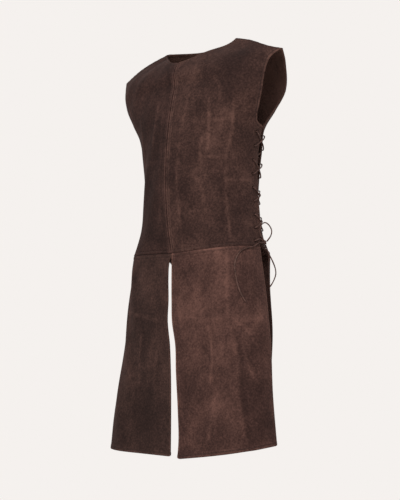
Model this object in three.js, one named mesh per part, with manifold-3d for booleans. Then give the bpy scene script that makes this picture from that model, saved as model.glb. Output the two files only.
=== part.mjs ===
// Surcoat: a sleeveless suede over-garment, open at both sides and laced there.
// Millimetres, +Z up. The wearer faces -Y and their left is +X. The origin lies
// midway between the two neck points, where the shoulders carry the garment.
import * as THREE from 'three';
import { mergeVertices } from 'three/addons/utils/BufferGeometryUtils.js';
import Module from 'manifold-3d';

const wasm = await Module();
wasm.setup();

// ------------------------------------------------------------ driving sizes
const WALL = 2.0;            // thickness of the suede
const SEAM_GAP = 0.3;        // clear gap at every sewn seam
const THONG = 3.0;           // diameter of the lacing thong
const HOLE_R = 3.2;          // radius of a punched lace hole
const HOLE_COUNT = 9;        // holes on each side edge
const HOLE_TOP_Z = -255;     // height of the highest pair of holes
const HOLE_PITCH = 35.1;     // distance between holes along the edge
const HOLE_INSET_FRONT = 22; // from the front panel's side edge
const HOLE_INSET_BACK = 15;  // from the back panel's side edge
const ARMHOLE_S = 0.57;      // row at which the armholes begin
const NECK_S = 0.90;         // row at which the front neckline begins
const BACK_NECK_S = 0.955;   // row at which the back neckline begins

// ------------------------------------------------------------ section tables
// Each row is one level section of half a panel, from the middle of the body
// out to the side: (y0, z0) is its point on the middle plane, (xo, yo, zo) its
// outer end, k1 and k2 how far the curve follows the middle and the end
// direction as fractions of xo, phi the end direction in degrees from +X, and
// zp how the height is shared out between the two ends.
const FRONT_BODICE = table('s y0 z0 xo yo zo k1 k2 phi zp', [
  [0.00, -118.0, -563.5, 184.6, 4.6, -549.0, 0.722, 0.530,  95, 1.30],
  [0.10, -130.0, -507, 169.8,  25.4, -480.7, 0.675, 0.540,  95, 0.95],
  [0.22, -138.0, -438, 160.0,  31.8, -419.0, 0.690, 0.525,  97, 0.87],
  [0.34, -141.0, -372, 158.0,  30.3, -352.4, 0.659, 0.483, 102, 0.86],
  [0.46, -138.0, -308, 165.6,  26.4, -294.6, 0.585, 0.495, 104, 0.84],
  [0.57, -132.0, -252, 182.2,  21.8, -238.8, 0.583, 0.482,  97, 0.75],
  [0.68, -123.0, -196, 209.9,  11.8, -197.0, 0.541, 0.461,  91, 0.64],
  [0.80, -107.0, -130, 237.5,  -1.0, -149.7, 0.555, 0.431,  79, 0.58],
  [0.90,  -93.0,  -66, 258.3,  -9.6, -102.5, 0.492, 0.408,  57, 0.60],
  [0.96,   -7.0,   37, 268.6,  -7.4,  -70.8, 0.536, 0.452,  36, 0.07],
  [1.00,    5.1,   23, 266.5,  -3.5,  -57.4, 0.795, 0.361,  19, 0.74],
]);
// On the right the hip seam rises sooner towards the side.
const FRONT_BODICE_RIGHT = { names: FRONT_BODICE.names, rows: [[0.00, -118.0, -563.5, 184.6, 4.6, -549.0, 0.722, 0.530, 95, 0.50], ...FRONT_BODICE.rows.slice(1)] };
const BACK_BODICE = table('s y0 z0 xo yo zo k1 k2 phi zp', [
  [0.00,   98.0, -545, 168.0,  36.0, -546.0, 0.600, 0.426, -76, 0.90],
  [0.10,   91.0, -492, 155.0,  44.0, -481.7, 0.600, 0.401, -60, 0.90],
  [0.22,   86.0, -430, 149.0,  43.0, -419.8, 0.600, 0.355, -62, 0.90],
  [0.34,   92.0, -364, 151.0,  47.0, -352.5, 0.600, 0.345, -57, 0.90],
  [0.46,  101.0, -302, 160.2,  46.2, -294.4, 0.600, 0.352, -54, 0.90],
  [0.57,  109.0, -240, 174.1,  37.9, -235.9, 0.600, 0.399, -59, 0.90],
  [0.68,  112.0, -184, 201.9,  42.1, -189.9, 0.580, 0.377, -68, 0.90],
  [0.80,  106.0, -120, 232.8,  37.1, -144.2, 0.560, 0.358, -80, 0.90],
  [0.90,   84.0,  -60, 254.4,  24.8, -100.2, 0.500, 0.334, -60, 0.90],
  [0.96,   50.0,   10, 262.9,   9.2,  -70.6, 0.500, 0.333, -36, 0.80],
  [1.00,    5.1,   23, 266.5,  -3.5,  -57.4, 0.795, 0.361,  19, 0.74],
]);
const FRONT_SKIRT_LEFT = table('s y0 z0 xo yo zo k1 k2 phi zp', [
  [0.00, -118.0, -563.5, 184.6,  4.6,  -549.0, 0.722, 0.530, 95, 1.30],
  [0.25, -118.0,  -692, 204.6,   2.0,  -664.0, 0.720, 0.458, 95, 1.25],
  [0.50, -118.0,  -819, 223.1,  -4.0,  -792.0, 0.720, 0.372, 95, 1.10],
  [0.75, -117.0,  -946, 233.5, -11.0,  -918.0, 0.740, 0.463, 95, 1.05],
  [1.00, -116.0, -1074, 250.1, -18.0, -1041.0, 0.760, 0.402, 96, 1.05],
]);
const FRONT_SKIRT_RIGHT = table('s y0 z0 xo yo zo k1 k2 phi zp', [
  [0.00, -118.0, -563.5, 184.6,  4.6,  -549.0, 0.722, 0.530, 95, 0.50],
  [0.25, -118.0,  -691, 204.6,   2.0,  -663.0, 0.720, 0.458, 95, 1.00],
  [0.50, -118.0,  -817, 223.1,  -4.0,  -790.0, 0.720, 0.372, 95, 0.80],
  [0.75, -117.0,  -942, 233.5, -11.0,  -915.0, 0.740, 0.463, 95, 0.70],
  [1.00, -116.0, -1067, 250.1, -18.0, -1039.0, 0.760, 0.402, 96, 0.65],
]);
const BACK_SKIRT = table('s y0 z0 xo yo zo k1 k2 phi zp', [
  [0.00,   98.0,  -545, 168.0,  36.0,  -546.0, 0.600, 0.426, -76, 0.90],
  [0.015,  98.5,  -553, 164.0,  61.0,  -552.5, 0.600, 0.330, -79, 0.95],
  [0.03,   99.0,  -561, 161.5,  68.0,  -559.5, 0.600, 0.280, -81, 0.97],
  [0.09,  101.0,  -592, 158.0,  73.0,  -587.0, 0.600, 0.230, -86, 1.00],
  [0.20,  104.0,  -650, 151.0,  86.0,  -638.0, 0.600, 0.180, -75, 1.00],
  [0.42,  107.0,  -763, 153.0,  95.0,  -750.0, 0.550, 0.200, -50, 1.00],
  [0.70,  110.0,  -907, 143.0,  99.0,  -894.0, 0.500, 0.220, -30, 1.00],
  [1.00,  112.0, -1049, 147.0, 100.0, -1036.0, 0.500, 0.220, -30, 1.00],
]);

// Where the cut edges run, as a fraction of the section from middle to side.
const FRONT_ARMHOLE = table('s t', [[0.57, 1], [0.585, 0.923], [0.62, 0.881], [0.68, 0.872], [0.76, 0.874], [0.85, 0.884], [0.92, 0.909], [1, 1]]);
const BACK_ARMHOLE = table('s t', [[0.57, 1], [0.585, 0.983], [0.62, 0.962], [0.68, 0.928], [0.76, 0.872], [0.85, 0.856], [0.92, 0.964], [1, 1]]);
const FRONT_NECK = table('s t', [[0.90, 0], [0.91, 0.087], [0.925, 0.174], [0.945, 0.26], [0.97, 0.295], [1, 0.246]]);
const BACK_NECK = table('s t', [[0.955, 0], [0.9573, 0.053], [0.9595, 0.078], [0.964, 0.114], [0.973, 0.163], [0.9865, 0.213], [1, 0.246]]);
// How far the two edges of the front slit stand from the middle plane, in mm.
const SLIT_LEFT = table('s x', [[0, 1.0], [0.23, 1.0], [0.33, 2.5], [0.455, 14], [0.58, 16], [0.77, 22], [0.92, 24], [1, 20]]);
const SLIT_RIGHT = table('s x', [[0, 0.6], [0.016, 1.2], [0.028, 5.0], [0.058, 9.2], [0.11, 11], [0.23, 10.5], [0.33, 13], [0.455, 5], [0.58, 2], [0.77, 1.5], [1, 3]]);

// Soft folds: t0 at the top row, t1 at the bottom row, half width in t, depth
// (out is positive) and the rows over which the fold grows.
const FOLDS_SKIRT_LEFT = [
  { t0: 0.50, t1: 0.56, w: 0.10, depth: 4.0, from: 0.25, to: 0.95 },
  { t0: 0.66, t1: 0.72, w: 0.09, depth: -4.0, from: 0.30, to: 0.95 },
  { t0: 0.24, t1: 0.22, w: 0.10, depth: -2.0, from: 0.20, to: 0.90 },
];
const FOLDS_SKIRT_RIGHT = [
  { t0: 0.46, t1: 0.42, w: 0.11, depth: 3.0, from: 0.30, to: 0.95 },
  { t0: 0.22, t1: 0.20, w: 0.10, depth: -2.5, from: 0.30, to: 0.95 },
];
const FOLDS_SKIRT_BACK = [
  { t0: 0.20, t1: 0.30, w: 0.22, depth: 5.0, from: 0.15, to: 0.95 },
  { t0: -0.45, t1: -0.52, w: 0.20, depth: 4.0, from: 0.25, to: 0.95 },
  { t0: -0.10, t1: -0.12, w: 0.16, depth: -5.0, from: 0.20, to: 0.95 },
  { t0: 0.70, t1: 0.72, w: 0.16, depth: -3.0, from: 0.30, to: 0.95 },
];
const NO_FOLDS = [];

// ------------------------------------------------------------ interpolation
function table(cols, rows) {
  return { names: cols.split(' '), rows };
}
// Smooth value of a named column at x; flat makes it level off at the last row.
function at(tab, name, x, flat = false) {
  const c = tab.names.indexOf(name);
  const rows = tab.rows;
  const n = rows.length;
  let i = 0;
  while (i < n - 2 && x >= rows[i + 1][0]) i += 1;
  const slope = (j) => (rows[j + 1][c] - rows[j][c]) / (rows[j + 1][0] - rows[j][0]);
  const tangent = (j) => {
    if (j === 0) return slope(0);
    if (j === n - 1) return flat ? 0 : slope(n - 2);
    const h0 = rows[j][0] - rows[j - 1][0];
    const h1 = rows[j + 1][0] - rows[j][0];
    return (slope(j - 1) * h1 + slope(j) * h0) / (h0 + h1);
  };
  const h = rows[i + 1][0] - rows[i][0];
  const u = (x - rows[i][0]) / h;
  return rows[i][c] * (1 + 2 * u) * (1 - u) ** 2 + tangent(i) * h * u * (1 - u) ** 2
    + rows[i + 1][c] * u * u * (3 - 2 * u) + tangent(i + 1) * h * u * u * (u - 1);
}
// Share of the height difference reached at t, with a finite slope at t = 0.
function share(t, p) {
  const e = 0.12;
  return ((t + e) ** p - e ** p) / ((1 + e) ** p - e ** p);
}
function smooth(a, b, x) {
  const u = Math.min(1, Math.max(0, (x - a) / (b - a)));
  return u * u * (3 - 2 * u);
}

// ------------------------------------------------------------ panel surfaces
// The middle surface of a panel; t runs from 0 in the middle to 1 at the side,
// and negative t is the mirrored half of a panel that crosses the middle.
function onSurface(spec, s, tSigned) {
  const { sections, flatTop, shiftY } = spec;
  const t = Math.abs(tSigned);
  const y0 = at(sections, 'y0', s);
  const z0 = at(sections, 'z0', s, flatTop);
  const xo = at(sections, 'xo', s);
  const yo = at(sections, 'yo', s);
  const zo = at(sections, 'zo', s, flatTop);
  const a = at(sections, 'k1', s) * xo;
  const b = at(sections, 'k2', s) * xo;
  const phi = THREE.MathUtils.degToRad(at(sections, 'phi', s));
  const b0 = (1 - t) ** 3;
  const b1 = 3 * t * (1 - t) ** 2;
  const b2 = 3 * t * t * (1 - t);
  const b3 = t ** 3;
  const x = b1 * a + b2 * (xo - b * Math.cos(phi)) + b3 * xo;
  const y = b0 * y0 + b1 * y0 + b2 * (yo - b * Math.sin(phi)) + b3 * yo;
  const z = z0 + (zo - z0) * share(t, at(sections, 'zp', s));
  return new THREE.Vector3(spec.side * Math.sign(tSigned || 1) * (x + spec.shiftX), y + shiftY, z + spec.shiftZ);
}
// Outward normal of the middle surface.
function normalOn(spec, s, t) {
  const e = 1e-3;
  const s0 = Math.max(0, s - e);
  const s1 = Math.min(1, s + e);
  const ds = onSurface(spec, s1, t).sub(onSurface(spec, s0, t));
  const edge = Math.abs(t) < 2 * e && !spec.whole;
  const t0 = edge ? 0 : t - e;
  const t1 = edge ? 2 * e : t + e;
  const dt0 = onSurface(spec, s, Math.min(1, t1)).sub(onSurface(spec, s, Math.max(-1, t0)));
  const n = dt0.clone().cross(ds).normalize();
  const out = spec.front ? -1 : 1;
  const x = onSurface(spec, s, t).x;
  const guess = new THREE.Vector3(Math.sign(x) * Math.min(1, Math.abs(x) / 150), out, 0.3);
  if (n.dot(guess) < 0) n.negate();
  if (spec.flatTop && s > 1 - 1e-6) { // front and back share one direction along the shoulder
    const along = dt0.normalize();
    n.set(0, 0, 1).addScaledVector(along, -along.z).normalize();
  }
  if (edge) n.setX(0).normalize(); // keeps the cut edge square to the middle plane
  return n;
}
function foldLift(folds, s, t) {
  let d = 0;
  for (const f of folds) {
    const tc = f.t0 + (f.t1 - f.t0) * s;
    d += f.depth * smooth(f.from, f.to, s) * Math.exp(-(((t - tc) / f.w) ** 2));
  }
  return d;
}
function pointOn(spec, s, t, lift) {
  return onSurface(spec, s, t).addScaledVector(normalOn(spec, s, t), lift + foldLift(spec.folds, s, t));
}

// A closed wall over the rows and columns of a panel. A whole panel is two
// mirrored blocks, welded down the middle wherever no neckline parts them.
function wallGeometry(spec) {
  const { rows, cols } = spec;
  const pos = [];
  const index = [];
  const nS = rows.length;
  const nT = cols.length;
  for (const block of spec.whole ? [-1, 1] : [1]) {
    const base = pos.length / 3;
    for (const lift of [WALL / 2, -WALL / 2]) {
      for (const s of rows) {
        const lo = spec.inner(s);
        const hi = spec.outer(s);
        for (const c of cols) {
          const p = pointOn(spec, s, block * (lo + c * (hi - lo)), lift);
          pos.push(p.x, p.y, p.z);
        }
      }
    }
    const id = (layer, i, j) => base + layer * nS * nT + i * nT + j;
    const flip = ((spec.side * block < 0) !== !spec.front) !== spec.down;
    const quad = (a, b, c, d) => {
      if (flip) index.push(a, c, b, a, d, c);
      else index.push(a, b, c, a, c, d);
    };
    for (let i = 0; i < nS - 1; i += 1) {
      for (let j = 0; j < nT - 1; j += 1) {
        quad(id(0, i, j), id(0, i, j + 1), id(0, i + 1, j + 1), id(0, i + 1, j));
        quad(id(1, i, j), id(1, i + 1, j), id(1, i + 1, j + 1), id(1, i, j + 1));
      }
      const welded = spec.whole && spec.inner(rows[i]) === 0 && spec.inner(rows[i + 1]) === 0;
      if (!welded) quad(id(0, i, 0), id(0, i + 1, 0), id(1, i + 1, 0), id(1, i, 0));
      quad(id(0, i, nT - 1), id(1, i, nT - 1), id(1, i + 1, nT - 1), id(0, i + 1, nT - 1));
    }
    for (let j = 0; j < nT - 1; j += 1) {
      quad(id(0, 0, j), id(1, 0, j), id(1, 0, j + 1), id(0, 0, j + 1));
      quad(id(0, nS - 1, j), id(0, nS - 1, j + 1), id(1, nS - 1, j + 1), id(1, nS - 1, j));
    }
  }
  return mergeVertices(fromArrays(pos, index), 1e-4);
}
function fromArrays(pos, index) {
  const g = new THREE.BufferGeometry();
  g.setAttribute('position', new THREE.Float32BufferAttribute(pos, 3));
  g.setIndex(index);
  return g;
}
const spread = (a, b, n) => Array.from({ length: n }, (_, i) => a + ((b - a) * i) / (n - 1));

// ------------------------------------------------------------ the six panels
const frontRows = [...spread(0, 0.57, 9), 0.577, 0.588, 0.61, 0.65, 0.70, 0.76, 0.82, 0.87, 0.90, 0.906, 0.915, 0.928, 0.943, 0.96, 0.98, 1];
const backRows = [...spread(0, 0.57, 9), 0.585, 0.61, 0.65, 0.70, 0.76, 0.82, 0.88, 0.93, 0.955, 0.9573, 0.9595, 0.964, 0.973, 0.9865, 1];
const skirtRows = [0, 0.016, 0.028, 0.055, 0.11, 0.19, 0.28, 0.38, 0.48, 0.59, 0.70, 0.80, 0.90, 1];
const backSkirtRows = [0, 0.0075, 0.015, 0.03, 0.055, ...skirtRows.slice(4)];
const halfCols = spread(0, 1, 12);
const bodiceOuter = (tab) => (s) => (s <= ARMHOLE_S ? 1 : at(tab, 't', s));
const neckInner = (tab, from) => (s) => (s <= from ? 0 : at(tab, 't', s));
const slitInner = (tab, sections) => (s) => at(tab, 'x', s) / (3 * at(sections, 'k1', s) * at(sections, 'xo', s));
const RIDGE_SHIFT = 0.28; // half the gap along the shoulder seams
const frontPanel = { front: true, down: false, whole: false, shiftX: SEAM_GAP / 2, shiftY: -RIDGE_SHIFT, shiftZ: 0, folds: NO_FOLDS, flatTop: true };
const skirtDrop = -(SEAM_GAP + 0.3); // mid-surface gap that leaves 0.3 mm between the slanted edges
const specs = {
  front_bodice_left: { ...frontPanel, side: 1, sections: FRONT_BODICE, rows: frontRows, cols: halfCols, inner: neckInner(FRONT_NECK, NECK_S), outer: bodiceOuter(FRONT_ARMHOLE), color: 0x42302b },
  front_bodice_right: { ...frontPanel, side: -1, sections: FRONT_BODICE_RIGHT, rows: frontRows, cols: halfCols, inner: neckInner(FRONT_NECK, NECK_S), outer: bodiceOuter(FRONT_ARMHOLE), color: 0x3b2b27 },
  back_bodice: { ...frontPanel, front: false, whole: true, shiftX: 0, shiftY: RIDGE_SHIFT, side: 1, sections: BACK_BODICE, rows: backRows, cols: halfCols, inner: neckInner(BACK_NECK, BACK_NECK_S), outer: bodiceOuter(BACK_ARMHOLE), color: 0x3d2c28 },
  front_skirt_left: { ...frontPanel, flatTop: false, down: true, side: 1, shiftX: 0, shiftZ: skirtDrop, sections: FRONT_SKIRT_LEFT, rows: skirtRows, cols: halfCols, inner: slitInner(SLIT_LEFT, FRONT_SKIRT_LEFT), outer: () => 1, folds: FOLDS_SKIRT_LEFT, color: 0x503934 },
  front_skirt_right: { ...frontPanel, flatTop: false, down: true, side: -1, shiftX: 0, shiftZ: skirtDrop, sections: FRONT_SKIRT_RIGHT, rows: skirtRows, cols: halfCols, inner: slitInner(SLIT_RIGHT, FRONT_SKIRT_RIGHT), outer: () => 1, folds: FOLDS_SKIRT_RIGHT, color: 0x3f2e2a },
  back_skirt: { ...frontPanel, front: false, whole: true, flatTop: false, down: true, side: 1, shiftX: 0, shiftY: RIDGE_SHIFT, shiftZ: skirtDrop - 0.45, sections: BACK_SKIRT, rows: backSkirtRows, cols: halfCols, inner: () => 0, outer: () => 1, folds: FOLDS_SKIRT_BACK, color: 0x3c2b27 },
};

const garment = new THREE.Group();
garment.name = 'surcoat';
function addMesh(name, geometry, color) {
  const mesh = new THREE.Mesh(geometry, new THREE.MeshStandardMaterial({ color, roughness: 0.92, metalness: 0 }));
  mesh.name = name;
  garment.add(mesh);
  return mesh;
}
// ------------------------------------------------------------ punched holes
// Place of a hole: on the row where the side edge has height z, `inset` along
// the surface from that edge.
function holePlace(spec, z, inset) {
  let lo = 0;
  let hi = ARMHOLE_S;
  for (let k = 0; k < 40; k += 1) {
    const mid = (lo + hi) / 2;
    if (onSurface(spec, mid, 1).z < z) lo = mid; else hi = mid;
  }
  const s = lo;
  let t = 1;
  let run = 0;
  let last = onSurface(spec, s, 1);
  while (run < inset && t > 0.3) {
    t -= 0.002;
    const p = onSurface(spec, s, t);
    run += p.distanceTo(last);
    last = p;
  }
  return { s, t };
}
const holeRows = Array.from({ length: HOLE_COUNT }, (_, i) => HOLE_TOP_Z - i * HOLE_PITCH);
function holesOf(spec, inset, sign = 1) {
  return holeRows.map((z) => {
    const { s, t } = holePlace(spec, z, inset);
    const e = 0.02;
    return {
      at: onSurface(spec, s, sign * t),
      out: normalOn(spec, s, sign * t),
      edge: onSurface(spec, s, sign),
      edgeOut: normalOn(spec, s, sign * (1 - e)),
    };
  });
}
function toManifold(geometry) {
  const g = geometry.clone();
  for (const key of Object.keys(g.attributes)) if (key !== 'position') g.deleteAttribute(key);
  const m = mergeVertices(g, 1e-4);
  return new wasm.Manifold(new wasm.Mesh({
    numProp: 3,
    vertProperties: new Float32Array(m.attributes.position.array),
    triVerts: new Uint32Array(m.index.array),
  }));
}
function fromManifold(solid) {
  const mesh = solid.getMesh();
  return fromArrays(Array.from(mesh.vertProperties), Array.from(mesh.triVerts));
}
function punched(geometry, holes) {
  let solid = toManifold(geometry);
  for (const h of holes) {
    const cutter = new THREE.CylinderGeometry(HOLE_R, HOLE_R, 16, 8);
    cutter.applyQuaternion(new THREE.Quaternion().setFromUnitVectors(new THREE.Vector3(0, 1, 0), h.out));
    cutter.translate(h.at.x, h.at.y, h.at.z);
    solid = solid.subtract(toManifold(cutter));
  }
  return fromManifold(solid);
}
const holes = {
  left: { front: holesOf(specs.front_bodice_left, HOLE_INSET_FRONT), back: holesOf(specs.back_bodice, HOLE_INSET_BACK, 1) },
  right: { front: holesOf(specs.front_bodice_right, HOLE_INSET_FRONT), back: holesOf(specs.back_bodice, HOLE_INSET_BACK, -1) },
};
const punchedIn = {
  front_bodice_left: holes.left.front,
  front_bodice_right: holes.right.front,
  back_bodice: [...holes.left.back, ...holes.right.back],
};
for (const [name, spec] of Object.entries(specs)) {
  const wall = wallGeometry(spec);
  addMesh(name, punchedIn[name] ? punched(wall, punchedIn[name]) : wall, spec.color);
}

// ------------------------------------------------------------ side laces
// A route that is stepped point by point, so that it passes through each hole.
class Route extends THREE.CatmullRomCurve3 {
  getUtoTmapping(u) { return u; }
}
function thong(points, perStep = 1) {
  const route = new Route(points, false, 'centripetal');
  const ring = new THREE.Shape();
  for (let k = 0; k < 8; k += 1) {
    const a = (k * Math.PI) / 4;
    if (k === 0) ring.moveTo((THONG / 2) * Math.cos(a), (THONG / 2) * Math.sin(a));
    else ring.lineTo((THONG / 2) * Math.cos(a), (THONG / 2) * Math.sin(a));
  }
  const g = new THREE.ExtrudeGeometry(ring, { steps: (points.length - 1) * perStep, extrudePath: route, bevelEnabled: false });
  for (const key of Object.keys(g.attributes)) if (key !== 'position') g.deleteAttribute(key);
  return mergeVertices(g, 1e-4);
}
const LIFT = WALL / 2 + THONG / 2 + 1.4; // centre line above the middle surface
const over = (h, d) => h.at.clone().addScaledVector(h.out, d);
// A point beside the rim of a panel's side edge at height z.
function rim(spec, sign, z, d) {
  const { s } = holePlace(spec, z, 0);
  return onSurface(spec, s, sign).addScaledVector(normalOn(spec, s, sign * 0.98), d);
}
// One strand: from its first hole it goes across the outside of the opening to
// the other panel, then across the inside, one hole further down each time.
// `raised` is how much further it stands off where it crosses the other strand.
function strand(side, startsInFront, raised) {
  const { front, back, frontSpec, frontSign, backSpec, backSign } = side;
  const pts = [];
  for (let i = 0; i < HOLE_COUNT - 1; i += 1) {
    const outside = i % 2 === 0;
    const forward = outside === startsInFront; // front hole above, back hole below
    const f = front[forward ? i : i + 1];
    const b = back[forward ? i + 1 : i];
    const z = (k) => f.at.z + (b.at.z - f.at.z) * k;
    let run;
    if (outside) {
      const atRim = rim(frontSpec, frontSign, z(0.44), LIFT - 0.7 + raised);
      const pastRim = rim(backSpec, backSign, z(0.74), LIFT - 0.6 + raised * 0.6);
      run = [f.at.clone(), over(f, LIFT), atRim, pastRim, over(b, LIFT), b.at.clone()];
    } else {
      const atRim = rim(backSpec, backSign, z(0.70), -(LIFT - 0.7) - raised * 0.7);
      const cross = over(f, -LIFT).lerp(rim(backSpec, backSign, z(0.70), -(LIFT - 0.7)), 0.75).addScaledVector(f.out, -raised);
      run = [over(f, -LIFT), cross, atRim, over(b, -LIFT)];
    }
    pts.push(...(forward === outside ? (outside ? run : run.reverse()) : (outside ? run.reverse() : run)));
  }
  return pts;
}
// The bow at the hip: offsets from the knot in mm, `along` around the body
// towards the back, `up`, and `out` towards the front of the opening.
const BOW_LOOP = [
  [-2.1, 5.3, 2.5], [-7, 10, 8], [-12, 19, 15], [-12, 32, 17], [-8, 43, 13], [1.5, 49.5, 6],
  [12, 43, 0], [18, 30, -3], [15.5, 17, -3], [6, 3.2, 0],
];
const BOW_OUTER_TAIL = [[2.1, -5.7, -0.4], [6, -16, -2], [10, -27, -3], [19.5, -46, -6], [26.5, -64, -10], [28, -79, -14], [22, -96, -19], [13.5, -110, -23]];
// The tail that lies on the front skirt, by row and place on that panel.
const BOW_FRONT_TAIL = {
  left: [
    { s: 0.006, t: 0.885 }, { s: 0.011, t: 0.811 }, { s: 0.023, t: 0.733 }, { s: 0.044, t: 0.673 }, { s: 0.076, t: 0.63 }, { s: 0.105, t: 0.611 },
    { s: 0.158, t: 0.612 }, { s: 0.202, t: 0.621 }, { s: 0.243, t: 0.643 }, { s: 0.273, t: 0.669 }, { s: 0.296, t: 0.697 },
  ],
  right: [
    { s: 0.016, t: 0.89 }, { s: 0.033, t: 0.85 }, { s: 0.061, t: 0.822 }, { s: 0.093, t: 0.806 }, { s: 0.1295, t: 0.8 },
    { s: 0.168, t: 0.802 }, { s: 0.211, t: 0.812 }, { s: 0.2545, t: 0.826 }, { s: 0.296, t: 0.836 }, { s: 0.334, t: 0.84 },
  ],
};
const KNOT = new THREE.Vector3(183.5, 26, -537);
const KNOT_R = 5.0;
const ALONG = new THREE.Vector3(0.766, 0.643, 0);
const OUTWARD = new THREE.Vector3(0.643, -0.766, 0);
const THONG_COLOR = 0x35231f;
for (const [name, sx] of [['left', 1], ['right', -1]]) {
  const side = {
    ...holes[name],
    frontSpec: specs[`front_bodice_${name}`],
    frontSign: 1,
    backSpec: specs.back_bodice,
    backSign: sx,
  };
  const { front, back } = side;
  const last = HOLE_COUNT - 1;
  const mirror = (v) => v.clone().setX(v.x * sx);
  const knot = mirror(KNOT);
  const bow = (rows) => rows.map(([a, u, o]) => mirror(KNOT.clone().addScaledVector(ALONG, a).addScaledVector(OUTWARD, o).add(new THREE.Vector3(0, 0, u))));
  const meetKnot = (p) => knot.clone().add(p.clone().sub(knot).setLength(KNOT_R + 0.9));
  // the bar inside the top pair of holes belongs to the first strand
  const bar = [over(back[0], -LIFT), rim(side.backSpec, side.backSign, HOLE_TOP_Z, -LIFT), over(front[0], -LIFT)];
  const overRim = rim(side.frontSpec, side.frontSign, front[last].at.z + 7, LIFT - 0.9);
  const endA = [front[last].at.clone(), over(front[last], LIFT), overRim, meetKnot(overRim)];
  const endB = [back[last].at.clone(), over(back[last], LIFT), meetKnot(over(back[last], LIFT))];
  const b = strand(side, false, 4.85);
  b[0] = over(back[0], -1.1);
  addMesh(`lace_${name}_a`, thong([...bar, ...strand(side, true, 0), ...endA]), THONG_COLOR);
  addMesh(`lace_${name}_b`, thong([...b, ...endB]), THONG_COLOR);
  const ball = new THREE.SphereGeometry(KNOT_R, 10, 8);
  ball.scale(1, 1, 1.1);
  addMesh(`bow_knot_${name}`, ball, THONG_COLOR).position.copy(knot);
  addMesh(`bow_loop_${name}`, thong(bow(BOW_LOOP), 2), THONG_COLOR);
  addMesh(`bow_tail_outer_${name}`, thong(bow(BOW_OUTER_TAIL), 2), THONG_COLOR);
  const skirt = specs[`front_skirt_${name}`];
  const onSkirt = BOW_FRONT_TAIL[name].map(({ s, t }) => pointOn(skirt, s, t, LIFT + 0.1));
  const lead = bow([[-3.6, -1.2, 5.0], [-8, -2.2, 14.5], [-15, -4, 24]]);
  addMesh(`bow_tail_front_${name}`, thong([...lead, ...onSkirt], 2), THONG_COLOR);
}
export default garment;
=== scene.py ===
"""A sleeveless suede surcoat, laced at both sides, worn shape, built on its CAD frame.
Panel sizes are in millimetres and are turned to metres when a mesh is made."""
import bpy, math
import numpy as np
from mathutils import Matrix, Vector


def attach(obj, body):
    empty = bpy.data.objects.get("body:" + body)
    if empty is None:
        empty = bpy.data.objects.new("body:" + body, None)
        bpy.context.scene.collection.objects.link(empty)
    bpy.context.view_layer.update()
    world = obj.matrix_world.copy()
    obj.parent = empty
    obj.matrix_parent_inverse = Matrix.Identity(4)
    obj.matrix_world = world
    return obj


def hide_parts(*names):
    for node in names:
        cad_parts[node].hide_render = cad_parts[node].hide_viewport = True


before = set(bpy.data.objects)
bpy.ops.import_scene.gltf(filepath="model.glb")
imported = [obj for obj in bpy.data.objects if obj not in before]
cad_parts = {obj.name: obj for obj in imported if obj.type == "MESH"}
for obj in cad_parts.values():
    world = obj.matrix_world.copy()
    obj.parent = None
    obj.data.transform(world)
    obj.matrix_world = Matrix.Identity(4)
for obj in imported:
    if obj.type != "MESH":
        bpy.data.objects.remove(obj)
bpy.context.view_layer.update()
MM = 0.001
rng = np.random.default_rng(41)

# ------------------------------------------------------------------ camera
AZ, PITCH = math.radians(40.0), math.radians(8.332)
cam_data = bpy.data.cameras.new("camera")
cam = bpy.data.objects.new("camera", cam_data)
bpy.context.scene.collection.objects.link(cam)
cam.location = (2.2498, -2.6812, -1.0544)
cam.rotation_euler = (math.radians(90) + PITCH, 0.0, AZ + math.radians(0.078))
cam_data.sensor_fit = "VERTICAL"
cam_data.sensor_height = 36.0
cam_data.sensor_width = 36.0
cam_data.lens = 98.9
cam_data.clip_end = 60
bpy.context.scene.camera = cam

# ------------------------------------------------------------- driving sizes
WALL, SEAM_GAP, THONG, HOLE_R = 2.0, 0.3, 3.0, 3.2
HOLE_COUNT, HOLE_TOP_Z, HOLE_PITCH = 9, -255.0, 35.1
HOLE_INSET_FRONT, HOLE_INSET_BACK = 22.0, 15.0
ARMHOLE_S, NECK_S, BACK_NECK_S = 0.57, 0.90, 0.955
RIDGE_SHIFT = 0.28
SKIRT_DROP = -(SEAM_GAP + 0.3)
HALF = 0.9  # half the thickness of the shown suede
CORNER = 5.0  # radius of the hem's corners


def table(cols, rows):
    return cols.split(), np.array(rows, float)


COLS = "s y0 z0 xo yo zo k1 k2 phi zp"
FRONT_BODICE = table(COLS, [
    [0.00, -118.0, -563.5, 184.6, 4.6, -549.0, 0.722, 0.530,  95, 1.30],
    [0.10, -130.0, -507, 169.8,  25.4, -480.7, 0.675, 0.540,  95, 0.95],
    [0.22, -138.0, -438, 160.0,  31.8, -419.0, 0.690, 0.525,  97, 0.87],
    [0.34, -141.0, -372, 158.0,  30.3, -352.4, 0.659, 0.483, 102, 0.86],
    [0.46, -138.0, -308, 165.6,  26.4, -294.6, 0.585, 0.495, 104, 0.84],
    [0.57, -132.0, -252, 182.2,  21.8, -238.8, 0.583, 0.482,  97, 0.75],
    [0.68, -123.0, -196, 209.9,  11.8, -197.0, 0.541, 0.461,  91, 0.64],
    [0.80, -107.0, -130, 237.5,  -1.0, -149.7, 0.555, 0.431,  79, 0.58],
    [0.90,  -93.0,  -66, 258.3,  -9.6, -102.5, 0.492, 0.408,  57, 0.60],
    [0.96,   -7.0,   37, 268.6,  -7.4,  -70.8, 0.536, 0.452,  36, 0.07],
    [1.00,    5.1,   23, 266.5,  -3.5,  -57.4, 0.795, 0.361,  19, 0.74],
])
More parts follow.
